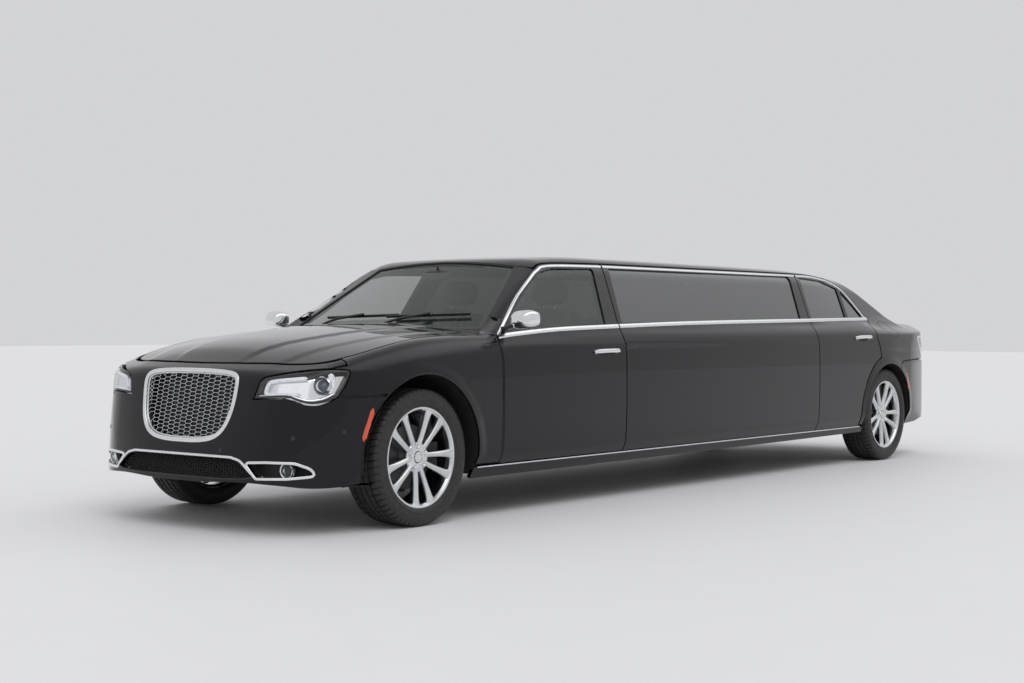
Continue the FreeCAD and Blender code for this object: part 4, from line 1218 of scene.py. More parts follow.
def spin(profile, centre, axis, count=48):
    """A surface of revolution from (distance along the axis, radius) points, smooth."""
    profile = np.asarray(profile, float)
    d, _, _ = axes_for(axis)
    upright = np.array([0, 0, 1.0])
    u = upright - d * np.dot(upright, d)
    u /= np.linalg.norm(u)
    v = np.cross(d, u)
    angles = np.linspace(0, 2 * math.pi, count, endpoint=False)
    radial = np.cos(angles)[:, None] * u + np.sin(angles)[:, None] * v
    t = np.gradient(profile, axis=0)
    t = unit(t)
    flat = np.stack([-t[:, 1], t[:, 0]], 1)
    points = np.asarray(centre, float) + d * profile[None, :, :1] + radial[:, None] * profile[None, :, 1:]
    normals = (d * flat[None, :, :1] + radial[:, None] * flat[None, :, 1:]).reshape(-1, 3)
    m = len(profile)
    faces = []
    for i in range(count):
        j = (i + 1) % count
        for k in range(m - 1):
            faces.append((i * m + k, j * m + k, j * m + k + 1, i * m + k + 1))
    return Skin().add(points.reshape(-1, 3), faces, normals)


def kinked(profile):
    """A turned profile with its sharp corners doubled, so that they shade as corners."""
    made = [np.asarray(profile[0], float)]
    for a, b, c in zip(profile, profile[1:], profile[2:]):
        a, b, c = (np.asarray(p, float) for p in (a, b, c))
        u, v = (a - b) / np.linalg.norm(a - b), (c - b) / np.linalg.norm(c - b)
        if u @ v > -0.9:
            made += [b + u * 0.4, b + v * 0.4]
        else:
            made.append(b)
    return made + [np.asarray(profile[-1], float)]


def trail(points, field=cabin_field, way="side", step=20.0):
    """Places and normals along a smooth line on the surface."""
    places = {"side": side, "front": front, "rear": rear, "plan": plan}[way](smooth_path(points, step), field)
    return places, normals_of(field, places)


def trim(points, width, height, field=cabin_field, way="side", step=20.0, **more):
    """A raised strip along a line on the surface."""
    places, normals = trail(points, field, way, step)
    return sweep(places, normals, half_round(width, height), **more)


def stretch(points, y0, y1):
    """The part of a line of (y, z) points between two stations."""
    p = np.array(points)
    inner = [tuple(q) for q in p if y0 + 5 < q[0] < y1 - 5]
    return ([(y0, float(np.interp(y0, p[:, 0], p[:, 1])))] + inner
            + [(y1, float(np.interp(y1, p[:, 0], p[:, 1])))])


# ---------------------------------------------------------------- window glass and its bright surround
GLASS_SINK = -9.0


def pane(chart, loop, spacing=30, grow=-9.0):
    """Window glass a little under the surface."""
    return sheet(chart, loop, field=cabin_field, spacing=spacing, radius=1.5, depth=4.5, lift=GLASS_SINK,
                 gap=grow)


def side_pane(names):
    """The glass of a piece's side windows."""
    both = Skin()
    for name in names:
        both.join(pane(SIDE_CHART, side(windows[name], cabin_field)))
    return both


hands(side_pane(["front"]), "front_door_pane", CLEAR, "front_door", "clear_glass", ["front_door_glass"])
hands(side_pane(["rear", "quarter"]), "rear_door_pane", TINTED, "rear_door", "tinted_glass",
      ["rear_door_glass"])
side_pane(["side"]).both().object("stretch_panes", TINTED, "body", "tinted_glass", ["side_windows"])

SCREEN_CHART = Flat((0, -0.75, 0.66), (0, fore(900), 1200))
BACK_CHART = Flat((0, 0.6, 0.8), (0, aft(100), 1250))
for chart, loop, name, glass_material, slot_name in (
        (SCREEN_CHART, screen_loop, "windshield", CLEAR, "clear_glass"),
        (BACK_CHART, back_loop, "rear_window", TINTED, "tinted_glass")):
    pane(chart, loop, 36, 2.0).object(name + "_pane", glass_material, "body", slot_name, [name])


def loop_ring(loop, field, inset, depth, section):
    """A ring that follows a loop on the surface, moved inwards and under it."""
    normals = normals_of(field, loop)
    inward = np.cross(tangents_of(loop, True), normals)
    if ((loop.mean(0) - loop) * inward).sum() < 0:
        inward = -inward
    return sweep(loop + inward * inset - normals * depth, normals, section, closed=True)


def seam_ring(path, *section):
    """A ring along a loop of places on the body."""
    return sweep(path, normals_of(body_field, path), half_round(*section), closed=True)


# black printed border and rubber round the two screens
for loop, name in ((screen_loop, "windshield_border"), (back_loop, "rear_window_border")):
    printed = loop_ring(loop, cabin_field, 19, 10.5, half_round(34, 1.2, 3.0))
    rubber = loop_ring(loop, cabin_field, 1.5, 5.5, half_round(9, 5.0, 6.0))
    printed.join(rubber).object(name, PLASTIC, "body", "black_plastic")

BELT_LINE = [(fore(d), z) for d, z in ((662, 997), (842, 1014), (1258, 1040), (1872, 1060), (2841, 1084),
                                       (4340, 1108), (5000, 1119), (5480, 1126))]
BELT_SEGMENTS = (("front_door", fore(662), SPLIT - 6), ("body", SPLIT + 6, REAR_SPLIT - 22),
                 ("rear_door", REAR_SPLIT - 6, fore(5470)))
TRIM_DROP = 19.0
front_line = below(list(reversed(front_top)), TRIM_DROP)
rear_line = below([p for p in reversed(rear_top) if p[1] > BELT + 100], TRIM_DROP)
front_line = [(fore(668), 1004.0)] + [p for p in front_line if fore(690) < p[0] < SPLIT + LEAN - 8]
rear_line = [p for p in rear_line if p[0] > REAR_SPLIT + LEAN + 8] + [(fore(5456), 1134.0)]
side_line = [(SPLIT + LEAN + 3, ROOF - 63 - TRIM_DROP), (REAR_SPLIT + LEAN - 8, ROOF - 52 - TRIM_DROP)]
TOP_LINES = {"front_door": front_line, "body": dense(side_line, 40, False), "rear_door": rear_line}
for piece, y0, y1 in BELT_SEGMENTS:
    bright = trim(stretch(BELT_LINE, y0, y1), 28, 6.0)
    bright.join(sweep(*trail(TOP_LINES[piece], step=24), half_round(19, 5.5)))
    if piece == "body":
        bright.both().object("stretch_bright_trim", CHROME, "body", "chrome")
    else:
        hands(bright, piece + "_bright_trim", CHROME, piece, "chrome")
divider = dense([(aft(-494), BELT + 84), (aft(-423), ROOF - 150)], 30, False)
hands(sweep(*trail(divider), half_round(13, 2.0, 10)), "quarter_divider", PLASTIC, "rear_door",
      "black_plastic")


# ---------------------------------------------------------------- grille and lower openings


def recessed(x, z, depth):
    """Places of a front view outline on the nose, moved back."""
    p = front(list(zip(x, z)))
    return p + np.array([0, depth, 0])


def lattice(outline, width, height, flat, bar, depth, thick):
    """Flattened hexagon cells cut to a front view outline: a bar of metal for each side of a cell."""
    loop = np.array(outline)
    low, high = loop.min(0) - 60, loop.max(0) + 60
    sides = set()
    corner = [(-width / 2, 0), (-flat / 2, height / 2), (flat / 2, height / 2), (width / 2, 0),
              (flat / 2, -height / 2), (-flat / 2, -height / 2)]
    pitch = (width + flat) / 2
    columns = int((high[0] - low[0]) / pitch) + 2
    rows = int((high[1] - low[1]) / height) + 2
    for i in range(-columns // 2, columns // 2 + 1):
        for j in range(rows):
            cx, cz = i * pitch, low[1] + j * height + (height / 2 if i % 2 else 0)
            points = [(round(cx + dx, 1), round(cz + dz, 1)) for dx, dz in corner]
            for a, b in zip(points, points[1:] + points[:1]):
                sides.add((min(a, b), max(a, b)))
    skin = Skin()
    kept = []
    for a, b in sorted(sides):
        mids = np.array([a, ((a[0] + b[0]) / 2, (a[1] + b[1]) / 2), b])
        if inside_polygon(mids, loop).all():
            kept.append((a, b))
    ends = np.array([p for pair_ in kept for p in pair_])
    places = recessed(ends[:, 0], ends[:, 1], depth)
    normals = normals_of(body_field, places - np.array([0, depth, 0]))
    section = [(-bar / 2, -thick), (-bar / 2, -bar / 2), (-bar / 5, 0), (bar / 5, 0), (bar / 2, -bar / 2),
               (bar / 2, -thick)]
    for k in range(0, len(places), 2):
        skin.join(sweep(places[k:k + 2], np.tile(normals[k:k + 2].mean(0), (2, 1)), section[::-1]))
    return skin


def backing(outline, depth):
    """A dark plate behind an opening."""
    verts, tris = fill([shrunk(np.array(outline), -8)], 40)
    p = recessed(verts[:, 0], verts[:, 1], depth)
    faces = [t[::-1] if np.cross(*(p[t[1:]] - p[t[0]]))[1] > 0 else t for t in tris]
    return Skin().add(p, faces, np.tile((0, -1.0, 0), (len(p), 1)))


def grown(path, amount):
    """A front view outline moved out by an amount, evenly filled."""
    return dense(shrunk(np.array(dense(path)), -amount))


grille_skin = lattice(dense(shrunk(np.array(grille_path), 2)), 58, 20.5, 30, 3.6, 26, 13)
grille_skin.object("grille_mesh", ALLOY, "body", "chrome", ["grille"])
fog_back = backing(dense(fog_path), 62)
backing(dense(grille_path), 72).join(backing(dense(low_path), 60)).join(fog_back).join(
    fog_back.mirrored()).object("opening_backs", PLASTIC, "body", "black_plastic")
lattice(dense(shrunk(np.array(low_path), 2)), 26, 13, 12, 2.6, 24, 10).object(
    "lower_grille_mesh", PLASTIC, "body", "black_plastic", ["lower_grille"])
surround = seam_ring(front(grown(grille_path, 7)), 25, 9, 10, 3.0, 13)
inner_path = recessed(*np.array(grown(grille_path, -7)).T, 10)
surround.join(sweep(inner_path, normals_of(body_field, inner_path - (0, 10, 0)), half_round(8, 5, 26),
              closed=True))
surround.object("grille_surround", CHROME, "body", "chrome")

fog_trim = seam_ring(front(grown(fog_path, 4)), 15, 5, 5).both()
wing = [(536, 300), (500, 326), (462, 358), (432, 376), (390, 385), (350, 389)]
wings = wing + [(0, 390)] + [(-x, z) for x, z in reversed(wing)]
fog_trim.join(trim(wings, 14, 5, body_field, "front", step=12, taper=10))
fog_trim.object("lower_bright_trim", CHROME, "body", "chrome")
seam_ring(front(grown(low_path, 2)), 8, 2.5, 8).object(
    "lower_grille_edge", PLASTIC, "body", "black_plastic")
for sx, hand in ((1, "left"), (-1, "right")):
    centre = front([(680, 331)])[0] * (sx, 1, 1) + np.array([0, 30, 0])
    axis = np.array([0.22 * sx, -1.0, 0])
    bowl = spin(kinked([(-34, 2), (-30, 20), (-12, 31), (6, 34), (8, 38), (0, 40), (-14, 40)]), centre, axis,
                36)
    bowl.object("fog_lamp_bowl_" + hand, REFLECTOR, "body", "chrome")
    spin([(0, 0.5), (3, 12), (1, 24), (-4, 33)][::-1], centre + axis * 2, axis, 36).object(
        "fog_lamp_lens_" + hand, LENS, "body", "lamp_lens")


# ---------------------------------------------------------------- wheels and tyres
TYRE_RADIUS = 364.0
PITCHES, TREAD_DEPTH = 62, 7.0
SPOKE_PAIRS = 5
FIRST_SPOKE, FIRST_NUT, SPOKE_PITCH = 29.5, 65.5, 72
SPOKE_START, SPOKE_END = 48, 252
NUT_CIRCLE = 57.5


def tyre_columns():
    """Angles round the tyre, each with a flag for the floor of a cross groove."""
    made = []
    for k in range(PITCHES):
        for at, low in ((0.0, True), (0.15, True), (0.19, False), (0.96, False)):
            made.append((2 * math.pi * (k + at) / PITCHES, low))
    return made


def tyre_skin(centre):
    """A tyre with ribs, cross grooves cut into its shoulders, and ringed sidewalls."""
    rows = []
    for x, kind in ((0, "rib"), (14, "rib"), (15.5, "groove"), (23.5, "groove"), (25, "rib"), (54, "rib"),
                    (55.5, "groove"), (63.5, "groove"), (65, "shoulder"), (98, "shoulder")):
        rows.append((x, TYRE_RADIUS - 3.0 * (x / 98.0) ** 2 - (TREAD_DEPTH if kind == "groove" else 0), kind))
    rows += [(107, 356.5, "shoulder"), (113.5, 348, "shoulder")]
    rows += [(x, r, "wall") for x, r in (
        (117.5, 338), (118.5, 336), (120.5, 322), (121.8, 310), (121.2, 302), (120.0, 300.5), (119.5, 296),
        (121.5, 294), (121.0, 286), (117.5, 280), (115.0, 276), (110.0, 268), (102.0, 262))]
    full = [(-x, r, kind) for x, r, kind in reversed(rows)] + rows
    points, faces = [], []
    for angle, low in tyre_columns():
        for x, r, kind in full:
            twist = 0.0
            if kind in ("rib", "shoulder"):
                cut = low and (kind == "shoulder" or abs(x) > 24)
                twist = 0.0006 * x
                depth = TREAD_DEPTH * (0.85 if kind == "shoulder" else 0.55)
                r = r - (depth if cut else 0)
            a = angle + twist
            points.append((centre[0] + x, centre[1] + r * math.sin(a), centre[2] + r * math.cos(a)))
    m, n = len(full), 4 * PITCHES
    for i in range(n):
        j = (i + 1) % n
        for k in range(m - 1):
            faces.append((i * m + k, i * m + k + 1, j * m + k + 1, j * m + k))
    return Skin().add(points, faces, np.zeros((len(points), 3)))


def polar(centre, x, r, angle, across=0.0):
    """A place on a wheel: x out from the centre plane, r from the axle at an angle from the top."""
    s, c = math.sin(angle), math.cos(angle)
    return (centre[0] + x, centre[1] + r * s + across * c, centre[2] + r * c - across * s)


def face_x(r):
    """How far out the wheel's face is at a radius."""
    return float(np.interp(r, [0, 60, 120, 190, 250], [84, 85, 92, 99, 104]))


def loft(rings):
    """Faces over closed rings of places, with capped ends."""
    m = len(rings[0])
    points = [p for ring in rings for p in ring]
    faces = [(i * m + k, i * m + (k + 1) % m, (i + 1) * m + (k + 1) % m, (i + 1) * m + k)
             for i in range(len(rings) - 1) for k in range(m)]
    faces += [tuple(range(m))[::-1], tuple((len(rings) - 1) * m + k for k in range(m))]
    return Skin().add(points, faces, np.zeros((len(points), 3)))


BARREL = [(92, 270), (104, 269), (108.5, 266), (109, 260), (106, 255), (99, 252), (92, 247), (60, 243),
          (20, 238), (-60, 240), (-96, 246), (-104, 262), (-100, 268)]
HUB = [(91, 0.6), (91, 8), (90, 20), (87, 27.5), (80, 28.5), (80, 31), (84, 34), (83, 60), (81, 76), (70, 82),
       (20, 84), (20, 30)]


def spoke_ring(centre, middle, lean, r):
    """A spoke's section at a radius, with a ridge along its face."""
    t = (r - SPOKE_START) / (SPOKE_END - SPOKE_START)
    across = lean * (17 + 43 * t ** 0.92)
    half = float(np.interp(r, [48, 80, 150, 215, 238, 252], [30, 29, 33, 40, 50, 66])) / 2
    depth = float(np.interp(r, [48, 120, 252], [40, 34, 30]))
    x, ridge = face_x(r), 4.5 * math.sin(math.pi * min(1, t * 1.05))
    top = -1.5 * lean * half / 8
    section = [(-half, x - depth), (-half, x - 7), (-half + 4, x - 2), (top - 1.2, x + ridge),
               (top + 1.2, x + ridge), (half - 4, x - 2), (half, x - 7), (half, x - depth)]
    return [polar(centre, px, r, middle, across + a) for a, px in section]


def rim_skin(centre):
    """A rim: barrel, hub and pairs of spokes."""
    wheel = spin(kinked(BARREL), centre, (1, 0, 0), 96)
    wheel.join(spin(kinked(HUB), centre, (1, 0, 0), 60))
    for pair_index in range(SPOKE_PAIRS):
        middle = math.radians(FIRST_SPOKE + SPOKE_PITCH * pair_index)
        for lean in (-1, 1):
            stations = (SPOKE_START, 62, 80, 100, 125, 150, 175, 200, 222, 238, SPOKE_END)
            wheel.join(loft([spoke_ring(centre, middle, lean, r) for r in stations]))
    return wheel


def nut_skin(centre, angle):
    """A lug nut in its round pocket."""
    at = polar(centre, 83.5, NUT_CIRCLE, angle)
    pocket = spin(kinked([(-1, 15.5), (2.2, 15.5), (3, 13.5), (0.5, 12)]), at, (1, 0, 0), 24)
    rings = [[(at[0] + x, at[1] + r * math.sin(k * math.pi / 3), at[2] + r * math.cos(k * math.pi / 3))
              for k in range(6)] for x, r in ((0, 10.2), (9, 10.2), (11.5, 8.4))]
    cap = spin([(16.2, 0.4), (15.8, 3.2), (14.5, 6.2), (11.5, 8.2)], at, (1, 0, 0), 18)
    return pocket.join(loft(rings)).join(cap)


DISC_SECTION = [(24, 40), (24, 76), (21, 80), (14, 84), (14, 168), (13, 171), (8, 171), (7, 168), (1, 168),
                (0, 171), (-5, 171), (-6, 168), (-6, 90)]


def nut_set(centre):
    """All the lug nuts of a wheel."""
    nuts = Skin()
    for k in range(SPOKE_PAIRS):
        nuts.join(nut_skin(centre, math.radians(FIRST_NUT + SPOKE_PITCH * k)))
    return nuts


for axle_name, y in (("front", FRONT_AXLE), ("rear", REAR_AXLE)):
    hub_centre = (WHEEL_X, y, AXLE_Z)
    disc = spin(kinked(DISC_SECTION), hub_centre, (1, 0, 0), 90)
    for kind, skin, wheel_material, slot_name, sharp in (
            ("tyre", tyre_skin(hub_centre), TYRE, "tyre", 28),
            ("rim", rim_skin(hub_centre), ALLOY, "alloy", 40),
            ("disc", disc, DISC, "steel", 30), ("nuts", nut_set(hub_centre), CHROME, "chrome", 30)):
        replaced = [f"{axle_name}_{kind}"] if kind in ("tyre", "rim") else []
        hands(skin, f"{axle_name}_{kind}_skin", wheel_material, f"{axle_name}_wheel", slot_name, replaced,
              sharp=sharp)


# ---------------------------------------------------------------- lamps


def sunk(points, depth, way="front"):
    """Places a little way under the surface, with their normals."""
    places, normals = trail(points, body_field, way, 10.0)
    return places - normals * depth, normals


PROJECTOR_X, PROJECTOR_Z = 790.0, 753.0
bucket = sheet(LAMP_CHART, lamp_loop, spacing=16, gap=-14, radius=1, depth=1, lift=-46).both()
bucket.object("headlight_reflectors", REFLECTOR, "body", "chrome")
loop_ring(lamp_loop, body_field, 7, 9, half_round(10, 3, 30)).both().object(
    "headlight_bezels", PLASTIC, "body", "black_plastic")
c_path = [(726, 712), (660, 711), (580, 709), (549, 714), (547, 735), (560, 766), (588, 779), (660, 790),
          (752, 799)]
bar = sweep(*sunk(c_path, 20), half_round(17, 9, 8), taper=6)
bar.join(sweep(*sunk([(829, 822), (842, 770), (834, 716)], 20, "front"), half_round(30, 8, 8), taper=6))
bar.both().object("headlight_light_bars", LIGHTBAR, "body", "lamp_lens")
swoosh_path = [(492, 700), (600, 704), (675, 706), (722, 693), (770, 680), (815, 688), (850, 715)]
swoosh = sweep(*sunk(swoosh_path, 24), half_round(15, 6, 14), taper=20)
swoosh.both().object("headlight_lower_trim", CHROME, "body", "chrome")
for sx, hand in ((1, "left"), (-1, "right")):
    at = np.array([PROJECTOR_X * sx, fore(-612), PROJECTOR_Z])
    axis = np.array([0.42 * sx, -0.9, 0.0])
    axis /= np.linalg.norm(axis)
    spin(kinked([(-24, 30), (-6, 33), (4, 38), (9, 42), (5, 47), (-10, 48), (-30, 48)]), at, axis, 48).object(
        "projector_ring_" + hand, CHROME, "body", "chrome")
    spin([(-22, 31), (-6, 30), (4, 25), (11, 17), (14, 8), (15, 0.5)][::-1], at, axis, 40).object(
        "projector_lens_" + hand, PROJECTOR, "body", "lamp_lens")

tail_in = sheet(TAIL_CHART, lamp_rear_loop, spacing=16, gap=-14, radius=1, depth=1, lift=-34).both()
tail_in.object("taillight_reflectors", RED_DEEP, "body", "red_lens")
loop_ring(lamp_rear_loop, body_field, 4, 3, half_round(13, 6, 12)).both().object(
    "taillight_bezels", CHROME, "body", "chrome")
red_path = [(758, 982), (748, 930), (746, 870), (752, 826), (800, 822), (846, 826), (866, 880), (880, 940),
            (884, 968)]
sweep(*sunk(red_path, 16, "rear"), half_round(16, 8, 8), taper=6).both().object(
    "taillight_bars", RED, "body", "red_lens")


# ---------------------------------------------------------------- markers, sensors, handles, mirrors
for name, points, width, lens in (
        ("front_markers", ((-377, 637), (-396, 580), (-420, 522), (-436, 471)), 27, AMBER),
        ("rear_markers", ((5912, 694), (5936, 630), (5966, 553)), 40, RED)):
    marker = trim([(fore(d), z) for d, z in points], width, 4, body_field, taper=7)
    marker.both().object(name, lens, "body", "red_lens")
sill_line = [(fore(d), 281.0 + 0.0012 * d) for d in np.linspace(462, 5140, 60)]
trim(sill_line, 8, 2.5, body_field).both().object("sill_bright_line", CHROME, "body", "chrome")
sensors = Skin()
sensor_places = [front([(718, 494), (300, 420)]), side([(fore(-541), 523)]), rear([(700, 560), (300, 560)])]
for p in np.concatenate(sensor_places):
    n = normals_of(body_field, np.array([p]))[0]
    sensors.join(spin(kinked([(-4, 12), (1.2, 11.5), (1.6, 9.6), (0.6, 9), (1.0, 0.5)][::-1]), p, n, 24))
sensors.both().object("parking_sensors", PLASTIC, "body", "black_plastic")


def arch_lip(axle, radius, start, end):
    """The thin lip along a wheel arch."""
    edge = side(circle(axle, radius, start, end))
    return sweep(edge, normals_of(body_field, edge), half_round(9, 3.5, 8))


LIP_GAP = 3
(_, FRONT_RADIUS), (_, REAR_RADIUS) = ARCHES
arch_lip(FRONT_AXLE, FRONT_RADIUS + LIP_GAP, -12, 188).join(
    arch_lip(REAR_AXLE, REAR_RADIUS + LIP_GAP, -9, 191)).both().object(
    "arch_lips", PAINT, "body", "body_paint")


def handle(y0, y1, z):
    """A bright pull handle standing off a door, over a shallow dark cup."""
    places, normals = trail([(y0, z - 2), ((y0 + y1) / 2, z), (y1, z + 2)], body_field, step=8)
    s = np.linspace(-1, 1, len(places))
    lift = 9 + 25 * (1 - s ** 4)
    bar_skin = sweep(places + normals * lift[:, None], normals, oval(12.5, 6.5, 0.7, 18), taper=22)
    ends = Skin()
    for k in (3, len(places) - 4):
        ends.join(spin(kinked([(-2, 16), (10, 13), (26, 10)][::-1]), places[k], normals[k], 24))
    cup, cup_normals = trail([(y0 + 45, z - 3), (y1 - 45, z - 3)], body_field, step=8)
    dark = sweep(cup, cup_normals, half_round(52, 1.6, 2), taper=36)
    return bar_skin.join(ends), dark


for piece, y0, y1, z in (("front_door", fore(1526), fore(1786), 905),
                         ("rear_door", fore(5012), fore(5268), 978)):
    bar_skin, dark = handle(y0, y1, z)
    hands(bar_skin, piece + "_handle", CHROME, piece, "chrome")
    hands(dark, piece + "_handle_cup", INSIDE, piece, "black_plastic")

fuel = [(5640, 1098), (5700, 1108), (5800, 1104), (5818, 1040), (5790, 985), (5700, 978), (5640, 990),
        (5622, 1045)]
fuel_loop = side(dense(rounded([(fore(d), z) for d, z in fuel], 40)))
seam_ring(fuel_loop, 4.5, 0.8, 2).object("fuel_door_seam", INSIDE, "body", "body_paint")


MIRROR_X, MIRROR_Y, MIRROR_Z = 998.0, fore(764), 1092.0
MIRROR_REACH, MIRROR_ABOVE, MIRROR_BELOW = 75, 55, 50
MIRROR_POINTS = 40
# distance behind the mirror's middle, share of its full size
MIRROR_RINGS = ((-55, 0.34), (-51, 0.56), (-43, 0.75), (-30, 0.90), (-12, 0.98), (10, 1.0), (32, 0.97),
                (44, 0.93), (50, 0.91))


def mirror_ring(dy, grow):
    """A squared oval across the mirror shell, with a crease along its front."""
    ring = []
    for a in np.arange(MIRROR_POINTS) * 2 * math.pi / MIRROR_POINTS:
        c, s = math.cos(a), math.sin(a)
        px = MIRROR_REACH * abs(c) ** 0.62 * np.sign(c) * grow
        pz = (MIRROR_ABOVE if s > 0 else MIRROR_BELOW) * abs(s) ** 0.66 * np.sign(s) * grow
        crease = 3.0 * math.exp(-((pz + 18) / 7) ** 2) if dy < 40 else 0
        ring.append((MIRROR_X + px, MIRROR_Y + dy - crease + 0.10 * px, MIRROR_Z + pz + 0.05 * px))
    return ring


def ring_faces(count):
    """Faces between rings of the mirror's points."""
    m = MIRROR_POINTS
    return [(i * m + (k + 1) % m, i * m + k, (i + 1) * m + k, (i + 1) * m + (k + 1) % m)
            for i in range(count - 1) for k in range(m)]


def bare(points, faces):
    """A skin whose normals come from its faces."""
    return Skin().add(points, faces, np.zeros((len(points), 3)))


rings = [mirror_ring(*row) for row in MIRROR_RINGS]
shell = bare(np.concatenate(rings), ring_faces(len(rings)) + [tuple(range(MIRROR_POINTS))])
back = np.array(rings[-1])
centre = back.mean(0)
inner = centre + (back - centre) * 0.93 + (0, 1.5, 0)
deep = centre + (back - centre) * 0.91 + (0, -7, 0)
rim = bare(np.concatenate([back, inner, deep]), ring_faces(3))
mirror_glass = bare(np.concatenate([deep + (0, 0.5, 0), [centre + (0, -5.0, 0)]]),
                    [((k + 1) % MIRROR_POINTS, k, MIRROR_POINTS) for k in range(MIRROR_POINTS)])
arm = rod([(842, fore(738), 1040), (878, fore(742), 1046), (915, fore(750), 1056), (950, fore(758), 1066)],
          (0, 0, 1.0), oval(27, 11, 0.8, 20), 8)
for skin, kind, finish, slot_name, gone in (
        (shell, "shell", CHROME, "chrome", ["mirror"]), (rim, "rim", PLASTIC, "black_plastic", []),
        (mirror_glass, "glass", CHROME, "chrome", []), (arm, "arm", PLASTIC, "black_plastic", [])):
    hands(skin, "mirror_" + kind, finish, "front_door", slot_name, gone, sharp=50)


# ---------------------------------------------------------------- wipers, plate, trunk trim, tail pipes
WIPER_BASE = BELT + 2
wipers = Skin()
for x0, x1, z1 in ((-480, 120, 1104), (40, 600, 1110)):
    blade = [(x0 + (x1 - x0) * t, z1 - 8 + 16 * t) for t in np.linspace(0, 1, 24)]
    places, normals = trail(blade, cabin_field, "front", 14)
    wipers.join(sweep(places + normals * 9, normals, half_round(11, 9, 6)))
    arm_line = [(x0 + share * (x1 - x0), z)
                for share, z in ((0.05, WIPER_BASE), (0.25, BELT + 24), (0.55, z1))]
    arm_path = front(arm_line, cabin_field)
    arm_normals = normals_of(cabin_field, arm_path)
    lifted = arm_path + arm_normals * np.array([[12], [26], [22]])
    wipers.join(rod(lifted, arm_normals.mean(0), half_round(17, 8, 4), 20))
wipers.object("wipers", PLASTIC, "body", "black_plastic")

PLATE_Z, PLATE_HALF, PLATE_RISE = 858, 152, 55
plate_middle = rear([(0, PLATE_Z)])[0]
plate_rows = rounded([(-PLATE_HALF, -PLATE_RISE), (PLATE_HALF, -PLATE_RISE),
                      (PLATE_HALF, PLATE_RISE), (-PLATE_HALF, PLATE_RISE)], 9)
plate_verts, plate_tris = fill([np.array(dense(plate_rows, 8))], 20)
across, up = plate_verts.T
plate_places = plate_middle + np.stack([across, 12.0 - up * 0.12, up], 1)
plate_faces = [t if np.cross(*(plate_places[t[1:]] - plate_places[t[0]]))[1] > 0 else t[::-1]
               for t in plate_tris]
plate_skin = Skin().add(plate_places, plate_faces, np.tile((0, 1.0, 0.12), (len(plate_places), 1)))
hem(plate_skin, plate_places, plate_faces, np.tile((0, 0.993, 0.12), (len(plate_places), 1)), 1.2, 9)
plate_skin.object("rear_plate", PLATE, "trunk_lid", "chrome")
lid_line = [(-560, 936), (-300, 940), (0, 941), (300, 940), (560, 936)]
trim(lid_line, 17, 6, body_field, "rear", taper=30).object("trunk_bright_bar", CHROME, "trunk_lid", "chrome")
for sx, hand in ((1, "left"), (-1, "right")):
    pipe_end = (sx * PIPE_X, TAIL - 25, PIPE_Z)
    spin(kinked([(-90, 41), (-88, 44), (16, 46), (19, 44.5), (16, 42.5), (1, 41.5)][::-1]), pipe_end,
         (0, 1, 0), 48).object("exhaust_tip_" + hand, CHROME, "body", "chrome")
    spin([(0.8, 41.5), (0.6, 30), (0.6, 0.5)][::-1], pipe_end, (0, 1, 0), 40).object(
        "exhaust_bore_" + hand, INSIDE, "body", "black_plastic")


# ---------------------------------------------------------------- seats
CARPET_Z = 270.0
LEVEL = np.eye(3)


def raked(angle, facing=0.0):
    """Axes of a seat back: across, up along the back, and out of its face; facing turns it round."""
    c, s = math.cos(angle), math.sin(angle)
    base = np.array([(1, 0, 0), (0, s, c), (0, -c, s)], float)
    f, g = math.cos(facing), math.sin(facing)
    turn = np.array([(f, -g, 0), (g, f, 0), (0, 0, 1)], float)
    return base @ turn.T


def pad(centre, size, axes=LEVEL, crown=14.0, seams=(), cross_seams=(), square=5.0, flat_below=True,
        cells=26):
    """A stuffed pad: a crowned closed form, pulled in between its corners, with sewn channels in its face."""
    skin = Skin()
    half = np.array(size, float) / 2
    g = np.linspace(-1, 1, cells + 1)
    g = np.sign(g) * np.abs(g) ** 0.82
    u, v = (w.ravel() for w in np.meshgrid(g, g, indexing="ij"))
    one = np.ones_like(u)
    for order in ((u, v, one), (v, u, -one), (one, u, v), (-one, v, u), (v, one, u), (u, -one, v)):
        p = np.stack(order, 1)
        q = p / (np.abs(p) ** square).sum(1)[:, None] ** (1 / square)
        x, y, z = q.T
        lift = crown * np.clip(1 - x * x, 0, 1) * np.clip(1 - y * y, 0, 1) * (z > 0 if flat_below else 1)
        groove = np.zeros(len(q))
        for at in seams:
            groove += 7.0 * np.exp(-((x - at) * half[0] / 6.0) ** 2)
        for at in cross_seams:
            groove += 7.0 * np.exp(-((y - at) * half[1] / 6.0) ** 2)
        middle = 1 - np.clip(np.abs(z), 0, 1) ** 2
        pull = 1 - 0.022 * middle * np.cos(np.clip(np.maximum(np.abs(x), np.abs(y)) - 0.9, 0, 1))
        welt = 3.5 * np.exp(-(((z - 0.74) * half[2]) / 4.0) ** 2) * (np.maximum(np.abs(x), np.abs(y)) > 0.8)
        height = z * half[2] + lift - groove * np.clip(z * 3 - 1, 0, 1)
        local = np.stack([x * half[0] * pull, y * half[1] * pull, height], 1)
        out = local / np.maximum(np.linalg.norm(local[:, :2], axis=1, keepdims=True), 1e-6)
        local[:, :2] -= out[:, :2] * welt[:, None]
        points = np.asarray(centre, float) + local @ axes
        n = cells + 1
        faces = [(i * n + j, (i + 1) * n + j, (i + 1) * n + j + 1, i * n + j + 1)
                 for i in range(cells) for j in range(cells)]
        skin.join(bare(points, faces))
    return skin


def padded_piece(skin, name, gone=()):
    """A leather pad on the body."""
    skin.object(name, LEATHER, "body", "leather", gone, sharp=70, weld=True)


